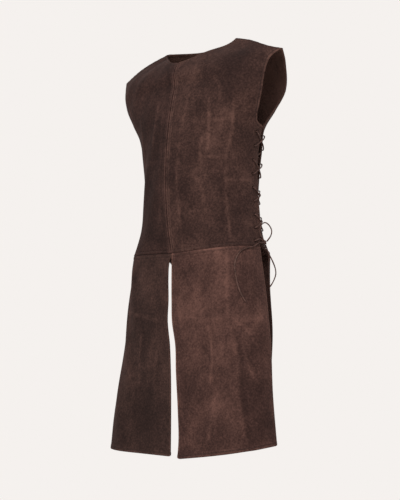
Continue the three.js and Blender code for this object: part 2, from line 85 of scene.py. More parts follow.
# on the right the hip seam rises sooner towards the side
FRONT_BODICE_RIGHT = table(COLS, [[0.00, -118.0, -563.5, 184.6, 4.6, -549.0, 0.722, 0.530, 95, 0.50]] + FRONT_BODICE[1][1:].tolist())
BACK_BODICE = table(COLS, [
    [0.00,   98.0, -545, 168.0,  36.0, -546.0, 0.600, 0.426, -76, 0.90],
    [0.10,   91.0, -492, 155.0,  44.0, -481.7, 0.600, 0.401, -60, 0.90],
    [0.22,   86.0, -430, 149.0,  43.0, -419.8, 0.600, 0.355, -62, 0.90],
    [0.34,   92.0, -364, 151.0,  47.0, -352.5, 0.600, 0.345, -57, 0.90],
    [0.46,  101.0, -302, 160.2,  46.2, -294.4, 0.600, 0.352, -54, 0.90],
    [0.57,  109.0, -240, 174.1,  37.9, -235.9, 0.600, 0.399, -59, 0.90],
    [0.68,  112.0, -184, 201.9,  42.1, -189.9, 0.580, 0.377, -68, 0.90],
    [0.80,  106.0, -120, 232.8,  37.1, -144.2, 0.560, 0.358, -80, 0.90],
    [0.90,   84.0,  -60, 254.4,  24.8, -100.2, 0.500, 0.334, -60, 0.90],
    [0.96,   50.0,   10, 262.9,   9.2,  -70.6, 0.500, 0.333, -36, 0.80],
    [1.00,    5.1,   23, 266.5,  -3.5,  -57.4, 0.795, 0.361,  19, 0.74],
])
FRONT_SKIRT_LEFT = table(COLS, [
    [0.00, -118.0, -563.5, 184.6,  4.6,  -549.0, 0.722, 0.530, 95, 1.30],
    [0.25, -118.0,  -692, 204.6,   2.0,  -664.0, 0.720, 0.458, 95, 1.25],
    [0.50, -118.0,  -819, 223.1,  -4.0,  -792.0, 0.720, 0.372, 95, 1.10],
    [0.75, -117.0,  -946, 233.5, -11.0,  -918.0, 0.740, 0.463, 95, 1.05],
    [1.00, -116.0, -1074, 250.1, -18.0, -1041.0, 0.760, 0.402, 96, 1.05],
])
FRONT_SKIRT_RIGHT = table(COLS, [
    [0.00, -118.0, -563.5, 184.6,  4.6,  -549.0, 0.722, 0.530, 95, 0.50],
    [0.25, -118.0,  -691, 204.6,   2.0,  -663.0, 0.720, 0.458, 95, 1.00],
    [0.50, -118.0,  -817, 223.1,  -4.0,  -790.0, 0.720, 0.372, 95, 0.80],
    [0.75, -117.0,  -942, 233.5, -11.0,  -915.0, 0.740, 0.463, 95, 0.70],
    [1.00, -116.0, -1067, 250.1, -18.0, -1039.0, 0.760, 0.402, 96, 0.65],
])
BACK_SKIRT = table(COLS, [
    [0.00,   98.0,  -545, 168.0,  36.0,  -546.0, 0.600, 0.426, -76, 0.90],
    [0.015,  98.5,  -553, 164.0,  61.0,  -552.5, 0.600, 0.330, -79, 0.95],
    [0.03,   99.0,  -561, 161.5,  68.0,  -559.5, 0.600, 0.280, -81, 0.97],
    [0.09,  101.0,  -592, 158.0,  73.0,  -587.0, 0.600, 0.230, -86, 1.00],
    [0.20,  104.0,  -650, 151.0,  86.0,  -638.0, 0.600, 0.180, -75, 1.00],
    [0.42,  107.0,  -763, 153.0,  95.0,  -750.0, 0.550, 0.200, -50, 1.00],
    [0.70,  110.0,  -907, 143.0,  99.0,  -894.0, 0.500, 0.220, -30, 1.00],
    [1.00,  112.0, -1049, 147.0, 100.0, -1036.0, 0.500, 0.220, -30, 1.00],
])
FRONT_ARMHOLE = table("s t", [[0.57, 1], [0.585, 0.923], [0.62, 0.881], [0.68, 0.872], [0.76, 0.874], [0.85, 0.884], [0.92, 0.909], [1, 1]])
BACK_ARMHOLE = table("s t", [[0.57, 1], [0.585, 0.983], [0.62, 0.962], [0.68, 0.928], [0.76, 0.872], [0.85, 0.856], [0.92, 0.964], [1, 1]])
FRONT_NECK = table("s t", [[0.90, 0], [0.91, 0.087], [0.925, 0.174], [0.945, 0.26], [0.97, 0.295], [1, 0.246]])
BACK_NECK = table("s t", [[0.955, 0], [0.9573, 0.053], [0.9595, 0.078], [0.964, 0.114], [0.973, 0.163], [0.9865, 0.213], [1, 0.246]])
SLIT_LEFT = table("s x", [[0, 1.0], [0.23, 1.0], [0.33, 2.5], [0.455, 14], [0.58, 16], [0.77, 22], [0.92, 24], [1, 20]])
SLIT_RIGHT = table("s x", [[0, 0.6], [0.016, 1.2], [0.028, 5.0], [0.058, 9.2], [0.11, 11], [0.23, 10.5], [0.33, 13], [0.455, 5], [0.58, 2], [0.77, 1.5], [1, 3]])

# Large folds of the drape, as in the solids: t0 at the top, t1 at the bottom,
# half width w in t, depth out in mm, and the rows over which each grows.
FOLDS = {
    "front_skirt_left": [(0.50, 0.56, 0.10, 4.0, 0.25, 0.95), (0.66, 0.72, 0.09, -4.0, 0.30, 0.95), (0.24, 0.22, 0.10, -2.0, 0.20, 0.90)],
    "front_skirt_right": [(0.46, 0.42, 0.11, 3.0, 0.30, 0.95), (0.22, 0.20, 0.10, -2.5, 0.30, 0.95)],
    "back_skirt": [(0.20, 0.30, 0.22, 5.0, 0.15, 0.95), (-0.45, -0.52, 0.20, 4.0, 0.25, 0.95), (-0.10, -0.12, 0.16, -5.0, 0.20, 0.95), (0.70, 0.72, 0.16, -3.0, 0.30, 0.95)],
}


# ------------------------------------------------------------ surface of a panel
def at(tab, name, x, flat=False):
    names, rows = tab
    c, X = names.index(name), rows[:, 0]
    Y, n = rows[:, c], len(rows)
    x = np.asarray(x, float)
    d = np.diff(Y) / np.diff(X)
    m = np.empty(n)
    m[0], m[-1] = d[0], 0 if flat else d[-1]
    for i in range(1, n - 1):
        h0, h1 = X[i] - X[i - 1], X[i + 1] - X[i]
        m[i] = (d[i - 1] * h1 + d[i] * h0) / (h0 + h1)
    i = np.clip(np.searchsorted(X, x, side="right") - 1, 0, n - 2)
    h = X[i + 1] - X[i]
    u = (x - X[i]) / h
    return (Y[i] * (1 + 2 * u) * (1 - u) ** 2 + m[i] * h * u * (1 - u) ** 2
            + Y[i + 1] * u * u * (3 - 2 * u) + m[i + 1] * h * u * u * (u - 1))


def share(t, p):
    e = 0.12
    return ((t + e) ** p - e ** p) / ((1 + e) ** p - e ** p)


def smooth(a, b, x):
    u = np.clip((np.asarray(x, float) - a) / (b - a), 0, 1)
    return u * u * (3 - 2 * u)


class Panel:
    def __init__(self, name, tab, front, inner, outer, side=1, whole=False, down=False, drop=0.0):
        self.name, self.tab, self.front, self.side, self.whole, self.down = name, tab, front, side, whole, down
        self.inner, self.outer, self.flat = inner, outer, not down
        self.shift = np.array([0.0 if whole or down else SEAM_GAP / 2, -RIDGE_SHIFT if front else RIDGE_SHIFT, drop])
        self.folds = FOLDS.get(name, [])
        self.edges, self.marks = {}, []

    def at(self, s, t):
        """Middle surface, in mm."""
        s, t = np.broadcast_arrays(np.asarray(s, float), np.asarray(t, float))
        tab, a_t = self.tab, np.abs(t)
        y0, z0 = at(tab, "y0", s), at(tab, "z0", s, self.flat)
        xo, yo, zo = at(tab, "xo", s), at(tab, "yo", s), at(tab, "zo", s, self.flat)
        a, b = at(tab, "k1", s) * xo, at(tab, "k2", s) * xo
        ph, zp = np.radians(at(tab, "phi", s)), at(tab, "zp", s)
        b0, b1, b2, b3 = (1 - a_t) ** 3, 3 * a_t * (1 - a_t) ** 2, 3 * a_t * a_t * (1 - a_t), a_t ** 3
        x = b1 * a + b2 * (xo - b * np.cos(ph)) + b3 * xo + self.shift[0]
        y = (b0 + b1) * y0 + b2 * (yo - b * np.sin(ph)) + b3 * yo + self.shift[1]
        z = z0 + (zo - z0) * share(a_t, zp) + self.shift[2]
        return np.stack([self.side * np.where(t < 0, -1, 1) * x, y, z], -1)

    def out(self, s, t):
        """Outward normal of the middle surface."""
        s, t = np.broadcast_arrays(np.asarray(s, float), np.asarray(t, float))
        e = 1e-3
        ds = self.at(np.minimum(1, s + e), t) - self.at(np.maximum(0, s - e), t)
        edge = (np.abs(t) < 2 * e) & (not self.whole)
        t0 = np.where(edge, 0, np.maximum(-1, t - e))
        t1 = np.where(edge, 2 * e, np.minimum(1, t + e))
        dt = self.at(s, t1) - self.at(s, t0)
        n = np.cross(dt, ds)
        n /= np.linalg.norm(n, axis=-1, keepdims=True)
        P = self.at(s, t)
        guess = np.stack([np.sign(P[..., 0]) * np.minimum(1, np.abs(P[..., 0]) / 150), np.full(s.shape, -1.0 if self.front else 1.0), np.full(s.shape, 0.3)], -1)
        n *= np.where((n * guess).sum(-1, keepdims=True) < 0, -1, 1)
        if self.flat:
            along = dt / np.linalg.norm(dt, axis=-1, keepdims=True)
            up = np.array([0, 0, 1.0]) - along * along[..., 2:3]
            up /= np.linalg.norm(up, axis=-1, keepdims=True)
            n = np.where((s > 1 - 1e-6)[..., None], up, n)
        n[..., 0] = np.where(edge, 0, n[..., 0])
        return n / np.linalg.norm(n, axis=-1, keepdims=True)

    def fold(self, s, t):
        d = np.zeros(np.broadcast(s, t).shape)
        for t0, t1, w, depth, a, b in self.folds:
            d = d + depth * smooth(a, b, s) * np.exp(-(((t - t0 - (t1 - t0) * s) / w) ** 2))
        return d

    def line(self, st, n=160):
        """Points in mm along a smooth line through (s, t) pairs."""
        st = np.asarray(st, float)
        u = np.linspace(0, 1, len(st))
        x = np.linspace(0, 1, n)
        s, t = curve_through(u, st[:, 0], x), curve_through(u, st[:, 1], x)
        return self.at(s, t), x


def curve_through(u, y, x):
    m = np.gradient(y, u)
    i = np.clip(np.searchsorted(u, x, side="right") - 1, 0, len(u) - 2)
    h = u[i + 1] - u[i]
    k = (x - u[i]) / h
    return y[i] * (1 + 2 * k) * (1 - k) ** 2 + m[i] * h * k * (1 - k) ** 2 + y[i + 1] * k * k * (3 - 2 * k) + m[i + 1] * h * k * k * (k - 1)


def distance(points, line):
    """Distance in mm from each point to a dense polyline, and how far along it."""
    flat = points.reshape(-1, 3)
    d, k = np.empty(len(flat)), np.empty(len(flat), int)
    for a in range(0, len(flat), 4000):
        q = ((flat[a:a + 4000, None, :] - line[None, :, :]) ** 2).sum(-1)
        k[a:a + 4000] = q.argmin(1)
        d[a:a + 4000] = np.sqrt(q[np.arange(len(q)), k[a:a + 4000]])
    return d.reshape(points.shape[:-1]), (k / max(1, len(line) - 1)).reshape(points.shape[:-1])


def neck(tab, start):
    return lambda s: np.where(np.asarray(s) <= start, 0.0, at(tab, "t", np.maximum(s, start)))


def arm(tab):
    return lambda s: np.where(np.asarray(s) <= ARMHOLE_S, 1.0, at(tab, "t", np.maximum(s, ARMHOLE_S)))


def slit(tab, sections):
    return lambda s: at(tab, "x", s) / (3 * at(sections, "k1", s) * at(sections, "xo", s))


ONE = lambda s: np.ones(np.shape(s))
ZERO = lambda s: np.zeros(np.shape(s))
PANELS = {p.name: p for p in (
    Panel("front_bodice_left", FRONT_BODICE, True, neck(FRONT_NECK, NECK_S), arm(FRONT_ARMHOLE)),
    Panel("front_bodice_right", FRONT_BODICE_RIGHT, True, neck(FRONT_NECK, NECK_S), arm(FRONT_ARMHOLE), side=-1),
    Panel("back_bodice", BACK_BODICE, False, neck(BACK_NECK, BACK_NECK_S), arm(BACK_ARMHOLE), whole=True),
    Panel("front_skirt_left", FRONT_SKIRT_LEFT, True, slit(SLIT_LEFT, FRONT_SKIRT_LEFT), ONE, down=True, drop=SKIRT_DROP),
    Panel("front_skirt_right", FRONT_SKIRT_RIGHT, True, slit(SLIT_RIGHT, FRONT_SKIRT_RIGHT), ONE, side=-1, down=True, drop=SKIRT_DROP),
    Panel("back_skirt", BACK_SKIRT, False, ZERO, ONE, whole=True, down=True, drop=SKIRT_DROP - 0.45),
)}

# ------------------------------------------------------------- lace holes, routes
LIFT = WALL / 2 + THONG / 2 + 0.9


def hole_place(p, z, inset):
    lo, hi = 0.0, ARMHOLE_S
    for _ in range(40):
        mid = (lo + hi) / 2
        lo, hi = (mid, hi) if p.at(mid, 1.0)[2] < z else (lo, mid)
    if not inset:
        return lo, 1.0
    t = np.arange(1.0, 0.3, -0.002)
    P = p.at(np.full(len(t), lo), t)
    run = np.concatenate([[0], np.cumsum(np.linalg.norm(np.diff(P, axis=0), axis=1))])
    return lo, float(t[np.searchsorted(run, inset)])


class Hole:
    def __init__(self, p, z, inset, sign):
        self.s, self.t = hole_place(p, z, inset)
        self.t *= sign
        self.at, self.out = p.at(self.s, self.t), p.out(self.s, self.t)


def over(h, d):
    return h.at + h.out * d


def rim(p, sign, z, d):
    s, _ = hole_place(p, z, 0)
    return p.at(s, sign * 1.0) + p.out(s, sign * 0.98) * d


hole_z = [HOLE_TOP_Z - i * HOLE_PITCH for i in range(HOLE_COUNT)]
SIDES = {}
for side_name, sx in (("left", 1), ("right", -1)):
    fp, bp = PANELS[f"front_bodice_{side_name}"], PANELS["back_bodice"]
    SIDES[side_name] = dict(sx=sx, fp=fp, bp=bp,
                            front=[Hole(fp, z, HOLE_INSET_FRONT, 1) for z in hole_z],
                            back=[Hole(bp, z, HOLE_INSET_BACK, sx) for z in hole_z])


def strand(side, starts_in_front, raised):
    pts = []
    for i in range(HOLE_COUNT - 1):
        outside = i % 2 == 0
        forward = outside == starts_in_front
        f = side["front"][i if forward else i + 1]
        b = side["back"][i + 1 if forward else i]
        z = lambda k: f.at[2] + (b.at[2] - f.at[2]) * k
        if outside:
            run = [f.at, over(f, LIFT), rim(side["fp"], 1, z(0.44), LIFT - 0.7 + raised),
                   rim(side["bp"], side["sx"], z(0.74), LIFT - 0.6 + raised * 0.6), over(b, LIFT), b.at]
            run = run if forward else run[::-1]
        else:
            base = rim(side["bp"], side["sx"], z(0.70), -(LIFT - 0.9))
            cross = over(f, -LIFT) * 0.25 + base * 0.75 - f.out * raised
            run = [over(f, -LIFT), cross, rim(side["bp"], side["sx"], z(0.70), -(LIFT - 0.9) - raised * 0.7), over(b, -LIFT)]
            run = run if forward else run[::-1]
        pts += run
    return pts


BOW_LOOP = [[-2.1, 5.3, 2.5], [-7, 10, 8], [-12, 19, 15], [-12, 32, 17], [-8, 43, 13], [1.5, 49.5, 6], [12, 43, 0], [18, 30, -3], [15.5, 17, -3], [6, 3.2, 0]]
BOW_OUTER_TAIL = [[2.1, -5.7, -0.4], [6, -16, -2], [10, -27, -3], [19.5, -46, -6], [26.5, -64, -10], [28, -79, -14], [22, -96, -19], [13.5, -110, -23]]
BOW_FRONT_TAIL = {
    "left": [(0.006, 0.885), (0.011, 0.811), (0.023, 0.733), (0.044, 0.673), (0.076, 0.63), (0.105, 0.611), (0.158, 0.612), (0.202, 0.621), (0.243, 0.643), (0.273, 0.669), (0.296, 0.697)],
    "right": [(0.016, 0.89), (0.033, 0.85), (0.061, 0.822), (0.093, 0.806), (0.1295, 0.8), (0.168, 0.802), (0.211, 0.812), (0.2545, 0.826), (0.296, 0.836), (0.334, 0.84)],
}
KNOT, KNOT_R = np.array([183.5, 26, -537.0]), 5.0
ALONG, OUTWARD = np.array([0.766, 0.643, 0]), np.array([0.643, -0.766, 0])


def spline(points, per=6):
    """A smooth route through points (centripetal), as the solids follow it."""
    P = np.array(points, float)
    P = np.vstack([2 * P[0] - P[1], P, 2 * P[-1] - P[-2]])
    out = []
    for i in range(1, len(P) - 2):
        p0, p1, p2, p3 = P[i - 1:i + 3]
        t0 = 0.0
        t1 = t0 + max(1e-6, np.linalg.norm(p1 - p0)) ** 0.5
        t2 = t1 + max(1e-6, np.linalg.norm(p2 - p1)) ** 0.5
        t3 = t2 + max(1e-6, np.linalg.norm(p3 - p2)) ** 0.5
        for k in range(per):
            t = t1 + (t2 - t1) * k / per
            a1 = (t1 - t) / (t1 - t0) * p0 + (t - t0) / (t1 - t0) * p1
            a2 = (t2 - t) / (t2 - t1) * p1 + (t - t1) / (t2 - t1) * p2
            a3 = (t3 - t) / (t3 - t2) * p2 + (t - t2) / (t3 - t2) * p3
            b1 = (t2 - t) / (t2 - t0) * a1 + (t - t0) / (t2 - t0) * a2
            b2 = (t3 - t) / (t3 - t1) * a2 + (t - t1) / (t3 - t1) * a3
            out.append((t2 - t) / (t2 - t1) * b1 + (t - t1) / (t2 - t1) * b2)
    out.append(P[-2])
    return np.array(out)


def new_mesh(name, verts, faces, mat, smooth_faces=True):
    me = bpy.data.meshes.new(name)
    me.from_pydata([tuple(v) for v in np.asarray(verts) * MM], [], [tuple(int(i) for i in f) for f in faces])
    me.update()
    if smooth_faces:
        me.polygons.foreach_set("use_smooth", [True] * len(me.polygons))
    ob = bpy.data.objects.new(name, me)
    bpy.context.scene.collection.objects.link(ob)
    me.materials.append(mat)
    return ob


def frames_along(P):
    """Tangents and a pair of unturning cross directions along a route."""
    T = np.gradient(P, axis=0)
    T /= np.linalg.norm(T, axis=1, keepdims=True)
    n = np.cross(T[0], [0.3, 0.2, 1.0])
    n /= np.linalg.norm(n)
    N = [n]
    for i in range(1, len(P)):
        n = N[-1] - T[i] * (N[-1] @ T[i])
        N.append(n / np.linalg.norm(n))
    N = np.array(N)
    return T, N, np.cross(T, N)


def tube(P, wide, thick, turn=0.0, sides=12, taper=0.0, fray=0.0):
    """A soft-cornered leather strip or round cord along P, closed at both ends."""
    T, N, B = frames_along(P)
    run = np.concatenate([[0], np.cumsum(np.linalg.norm(np.diff(P, axis=0), axis=1))])
    verts, faces = [], []
    a = np.linspace(0, 2 * np.pi, sides, endpoint=False)
    sq = lambda v: np.sign(v) * np.abs(v) ** 0.8
    for i in range(len(P)):
        w = turn * np.sin(run[i] / 37.0) + 0.4 * np.sin(run[i] / 11.0)
        size = 1 + 0.05 * np.sin(run[i] / 6.3 + 1.0) + 0.03 * np.sin(run[i] / 2.1)
        if taper:
            size *= 1 - 0.35 * smooth(run[-1] - taper, run[-1], run[i])
        n, b = N[i] * math.cos(w) + B[i] * math.sin(w), B[i] * math.cos(w) - N[i] * math.sin(w)
        ring = P[i] + np.outer(sq(np.cos(a)) * wide / 2 * size, n) + np.outer(sq(np.sin(a)) * thick / 2 * size, b)
        verts += list(ring)
    n = len(P)
    for i in range(n - 1):
        for k in range(sides):
            k2 = (k + 1) % sides
            faces.append((i * sides + k, i * sides + k2, (i + 1) * sides + k2, (i + 1) * sides + k))
    for end, base, step in ((0, 0, -1), (1, (n - 1) * sides, 1)):
        c = len(verts)
        ring = np.array(verts[base:base + sides])
        mid = ring.mean(0)
        verts += list(mid + (ring - mid) * 0.72 + T[0 if end == 0 else -1] * step * 0.35)
        for k in range(sides):
            k2 = (k + 1) % sides
            faces.append((base + k2, base + k, c + k, c + k2) if end == 0 else (base + k, base + k2, c + k2, c + k))
        faces.append(tuple(c + k for k in (range(sides - 1, -1, -1) if end == 0 else range(sides))))
    return verts, faces


# ---------------------------------------------------------------- materials
def srgb(r, g, b):
    f = lambda v: v / 12.92 if v <= 0.04045 else ((v + 0.055) / 1.055) ** 2.4
    return (f(r / 255), f(g / 255), f(b / 255), 1.0)


def nodes_of(mat):
    mat.use_nodes = True
    nt = mat.node_tree
    nt.nodes.clear()
    out = nt.nodes.new("ShaderNodeOutputMaterial")
    bsdf = nt.nodes.new("ShaderNodeBsdfPrincipled")
    nt.links.new(bsdf.outputs[0], out.inputs[0])
    return nt, bsdf


def noise(nt, coords, scale, detail=3.0, rough=0.55, stretch=None, distortion=0.0):
    n = nt.nodes.new("ShaderNodeTexNoise")
    n.inputs["Scale"].default_value = scale
    n.inputs["Detail"].default_value = detail
    n.inputs["Roughness"].default_value = rough
    n.inputs["Distortion"].default_value = distortion
    if stretch:
        m = nt.nodes.new("ShaderNodeMapping")
        m.inputs["Scale"].default_value = stretch
        nt.links.new(coords, m.inputs["Vector"])
        coords = m.outputs[0]
    nt.links.new(coords, n.inputs["Vector"])
    return n.outputs["Fac"]


def maths(nt, op, a, b=None, c=None):
    m = nt.nodes.new("ShaderNodeMath")
    m.operation = op
    for i, v in enumerate((a, b, c)):
        if v is None:
            continue
        if isinstance(v, (int, float)):
            m.inputs[i].default_value = v
        else:
            nt.links.new(v, m.inputs[i])
    return m.outputs[0]


def suede(name, dark, mid, light, offset=(0, 0, 0), inside=False):
    """Napped suede: blotches of brushed nap at three scales, fine fibres, and a colour attribute that holds rubbed
    creases and wear together with painted shade and highlights at seams and folds.
    """
    mat = bpy.data.materials.new(name)
    nt, bsdf = nodes_of(mat)
    tc = nt.nodes.new("ShaderNodeTexCoord")
    shift = nt.nodes.new("ShaderNodeMapping")
    shift.inputs["Location"].default_value = offset
    nt.links.new(tc.outputs["Object"], shift.inputs["Vector"])
    co = shift.outputs[0]
    big = noise(nt, co, 7.5, 3, 0.55, (1, 1, 0.7), 0.4)
    mids = noise(nt, co, 34, 4, 0.6, (1, 1, 0.8), 0.6)
    fine = noise(nt, co, 210, 3, 0.65)
    fibre = noise(nt, co, 900, 2, 0.6, (1, 1, 0.45))
    wear_and_painted_light = nt.nodes.new("ShaderNodeAttribute")
    wear_and_painted_light.attribute_name = "wear_and_painted_light"
    wear_and_painted_light_mix = maths(nt, "MULTIPLY", wear_and_painted_light.outputs["Fac"], maths(nt, "MULTIPLY_ADD", mids, 1.5, 0.25))
    f = maths(nt, "MULTIPLY_ADD", big, 0.50, -0.25)
    f = maths(nt, "MULTIPLY_ADD", mids, 0.62, f)
    f = maths(nt, "ADD", f, -0.31)
    f = maths(nt, "MULTIPLY_ADD", fine, 1.0, f)
    f = maths(nt, "ADD", f, -0.5)
    f = maths(nt, "MULTIPLY_ADD", fibre, 0.40, f)
    f = maths(nt, "ADD", f, 0.30)
    f = maths(nt, "ADD", f, wear_and_painted_light_mix)
    ramp = nt.nodes.new("ShaderNodeValToRGB")
    ramp.color_ramp.interpolation = "B_SPLINE"
    e = ramp.color_ramp.elements
    e[0].position, e[0].color = 0.12, dark
    e[1].position, e[1].color = 0.92, light
    m = e.new(0.50)
    m.color = mid
    nt.links.new(f, ramp.inputs[0])
    nt.links.new(ramp.outputs[0], bsdf.inputs["Base Color"])
    r = maths(nt, "MULTIPLY_ADD", fine, -0.14, 0.98)
    nt.links.new(r, bsdf.inputs["Roughness"])
    bump = nt.nodes.new("ShaderNodeBump")
    bump.inputs["Strength"].default_value = 0.55
    bump.inputs["Distance"].default_value = 0.0011
    height = maths(nt, "MULTIPLY_ADD", fine, 0.55, maths(nt, "MULTIPLY", fibre, 0.35))
    height = maths(nt, "MULTIPLY_ADD", mids, 0.9, height)
    nt.links.new(height, bump.inputs["Height"])
    nt.links.new(bump.outputs[0], bsdf.inputs["Normal"])
    bsdf.inputs["Specular IOR Level"].default_value = 0.12
    bsdf.inputs["Sheen Weight"].default_value = 0.06
    bsdf.inputs["Sheen Roughness"].default_value = 0.45
    bsdf.inputs["Sheen Tint"].default_value = srgb(190, 140, 126)
    return mat


def leather(name, dark, light):
    mat = bpy.data.materials.new(name)
    nt, bsdf = nodes_of(mat)
    tc = nt.nodes.new("ShaderNodeTexCoord")
    co = tc.outputs["Object"]
    a = noise(nt, co, 120, 4, 0.6)
    b = noise(nt, co, 900, 2, 0.5)
    ramp = nt.nodes.new("ShaderNodeValToRGB")
    ramp.color_ramp.elements[0].position, ramp.color_ramp.elements[0].color = 0.3, dark
    ramp.color_ramp.elements[1].position, ramp.color_ramp.elements[1].color = 0.75, light
    nt.links.new(a, ramp.inputs[0])
    nt.links.new(ramp.outputs[0], bsdf.inputs["Base Color"])
    nt.links.new(maths(nt, "MULTIPLY_ADD", b, 0.2, 0.55), bsdf.inputs["Roughness"])
    bump = nt.nodes.new("ShaderNodeBump")
    bump.inputs["Strength"].default_value = 0.35
    bump.inputs["Distance"].default_value = 0.0004
    nt.links.new(b, bump.inputs["Height"])
    nt.links.new(bump.outputs[0], bsdf.inputs["Normal"])
    bsdf.inputs["Specular IOR Level"].default_value = 0.22
    return mat


DARK, MIDC, LIGHT = srgb(33, 21, 19), srgb(53, 35.5, 31.5), srgb(92, 65, 57)
SUEDE = {
    "front_bodice_left": suede("suede_bodice_left", DARK, MIDC, LIGHT, (0.13, 0.4, 0.02)),
    # painted shade: the far front bodice gets a darker copy of the bodice suede, for its side turned from the light
    "front_bodice_right": suede("suede_bodice_right_painted_shade", srgb(28, 18, 16), srgb(43.5, 28.3, 25.3), srgb(78, 54, 48), (0.7, 0.1, 0.31)),
    "back_bodice": suede("suede_back", srgb(33, 21, 19), srgb(52, 35, 31), srgb(88, 63, 55), (1.3, 0.2, 0.5)),
    "front_skirt_left": suede("suede_skirt_left", srgb(41, 26, 23), srgb(67, 45, 40), srgb(106, 74, 65), (0.2, 0.9, 0.63)),
    "front_skirt_right": suede("suede_skirt_right", srgb(32, 21, 19), srgb(51, 35, 31), srgb(86, 61, 54), (0.5, 0.3, 0.86)),
    "back_skirt": suede("suede_skirt_back", srgb(33, 22, 20), srgb(53, 36, 32), srgb(88, 63, 56), (0.9, 0.6, 0.14)),
}
THREAD = leather("thread", srgb(60, 44, 39), srgb(84, 62, 54))
LACE = leather("thong_leather", srgb(46, 30, 26), srgb(100, 70, 61))

# ------------------------------------------------------------------ the cords
cord_objects = []


def add_cord(name, pts, exit_at=None, taper=0.0, turn=0.5):
    P = spline(pts, 3 if name.startswith("bow") else 5)
    verts, faces = tube(P, 3.9, 2.9, turn=0.12, taper=taper) if name.startswith("bow") else tube(P, 3.4, 2.7, turn=turn, taper=taper)
    ob = new_mesh(name + "_thong", verts, faces, LACE)
    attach(ob, "root")
    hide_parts(name)
    length = float(np.linalg.norm(np.diff(P, axis=0), axis=1).sum()) * MM
    cord_objects.append((ob, length))
    return ob


cord_lengths = {}
for side_name, side in SIDES.items():
    sx, front, back = side["sx"], side["front"], side["back"]
    flip = np.array([sx, 1, 1.0])
    knot = KNOT * flip
    bow = lambda rows: [(KNOT + ALONG * a + OUTWARD * o + np.array([0, 0, u])) * flip for a, u, o in rows]
    meet = lambda p: knot + (p - knot) / np.linalg.norm(p - knot) * (KNOT_R + 0.9)
    last = HOLE_COUNT - 1
    bar = [over(back[0], -LIFT), rim(side["bp"], sx, HOLE_TOP_Z, -LIFT), over(front[0], -LIFT)]
    over_rim = rim(side["fp"], 1, front[last].at[2] + 7, LIFT - 0.9)
    end_a = [front[last].at, over(front[last], LIFT), over_rim, meet(over_rim)]
    end_b = [back[last].at, over(back[last], LIFT), meet(over(back[last], LIFT))]
    b = strand(side, False, 3.2)
    b[0] = over(back[0], -1.1)
    add_cord(f"lace_{side_name}_a", bar + strand(side, True, 0) + end_a)
    add_cord(f"lace_{side_name}_b", b + end_b)
    add_cord(f"bow_loop_{side_name}", bow(BOW_LOOP))
    add_cord(f"bow_tail_outer_{side_name}", bow(BOW_OUTER_TAIL), taper=5)
    skirt = PANELS[f"front_skirt_{side_name}"]
    on_skirt = [skirt.at(s, t) + skirt.out(s, t) * (LIFT + 0.2 + float(skirt.fold(s, t))) for s, t in BOW_FRONT_TAIL[side_name]]
    add_cord(f"bow_tail_front_{side_name}", bow([[-3.6, -1.2, 5.0], [-8, -2.2, 14.5], [-15, -4, 24]]) + on_skirt, taper=5)
    # the knot: a thong wound over itself three times, each turn at its own slant
    wraps = []
    u = np.linspace(0, 1, 90)
    ang = 2 * np.pi * 2.6 * u
    tilt = 0.9 * np.sin(2 * np.pi * u * 0.9 + 0.5)
    r = 3.3 + 0.5 * np.sin(2 * np.pi * 1.7 * u)
    loc = np.stack([r * np.cos(ang), r * np.sin(ang) * np.cos(tilt), -3.4 + 6.8 * u + r * 0.35 * np.sin(ang) * np.sin(tilt)], -1)
    M = np.stack([ALONG, OUTWARD, [0, 0, 1.0]])
    P = (KNOT + loc @ M) * flip
    v1, f1 = tube(P, 3.0, 2.3, turn=0.2, sides=10)
    core = np.array([[0, 0, -4.6], [0.4, 0.2, -2], [-0.3, 0.4, 1.5], [0.2, -0.2, 4.8]])
    v2, f2 = tube((KNOT + spline(core, 6) @ M) * flip, 5.6, 5.0, sides=10)
    f2 = [tuple(i + len(v1) for i in f) for f in f2]
    ob = new_mesh(f"knot_{side_name}", list(v1) + list(v2), f1 + f2, LACE)
    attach(ob, "root")
    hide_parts(f"bow_knot_{side_name}")
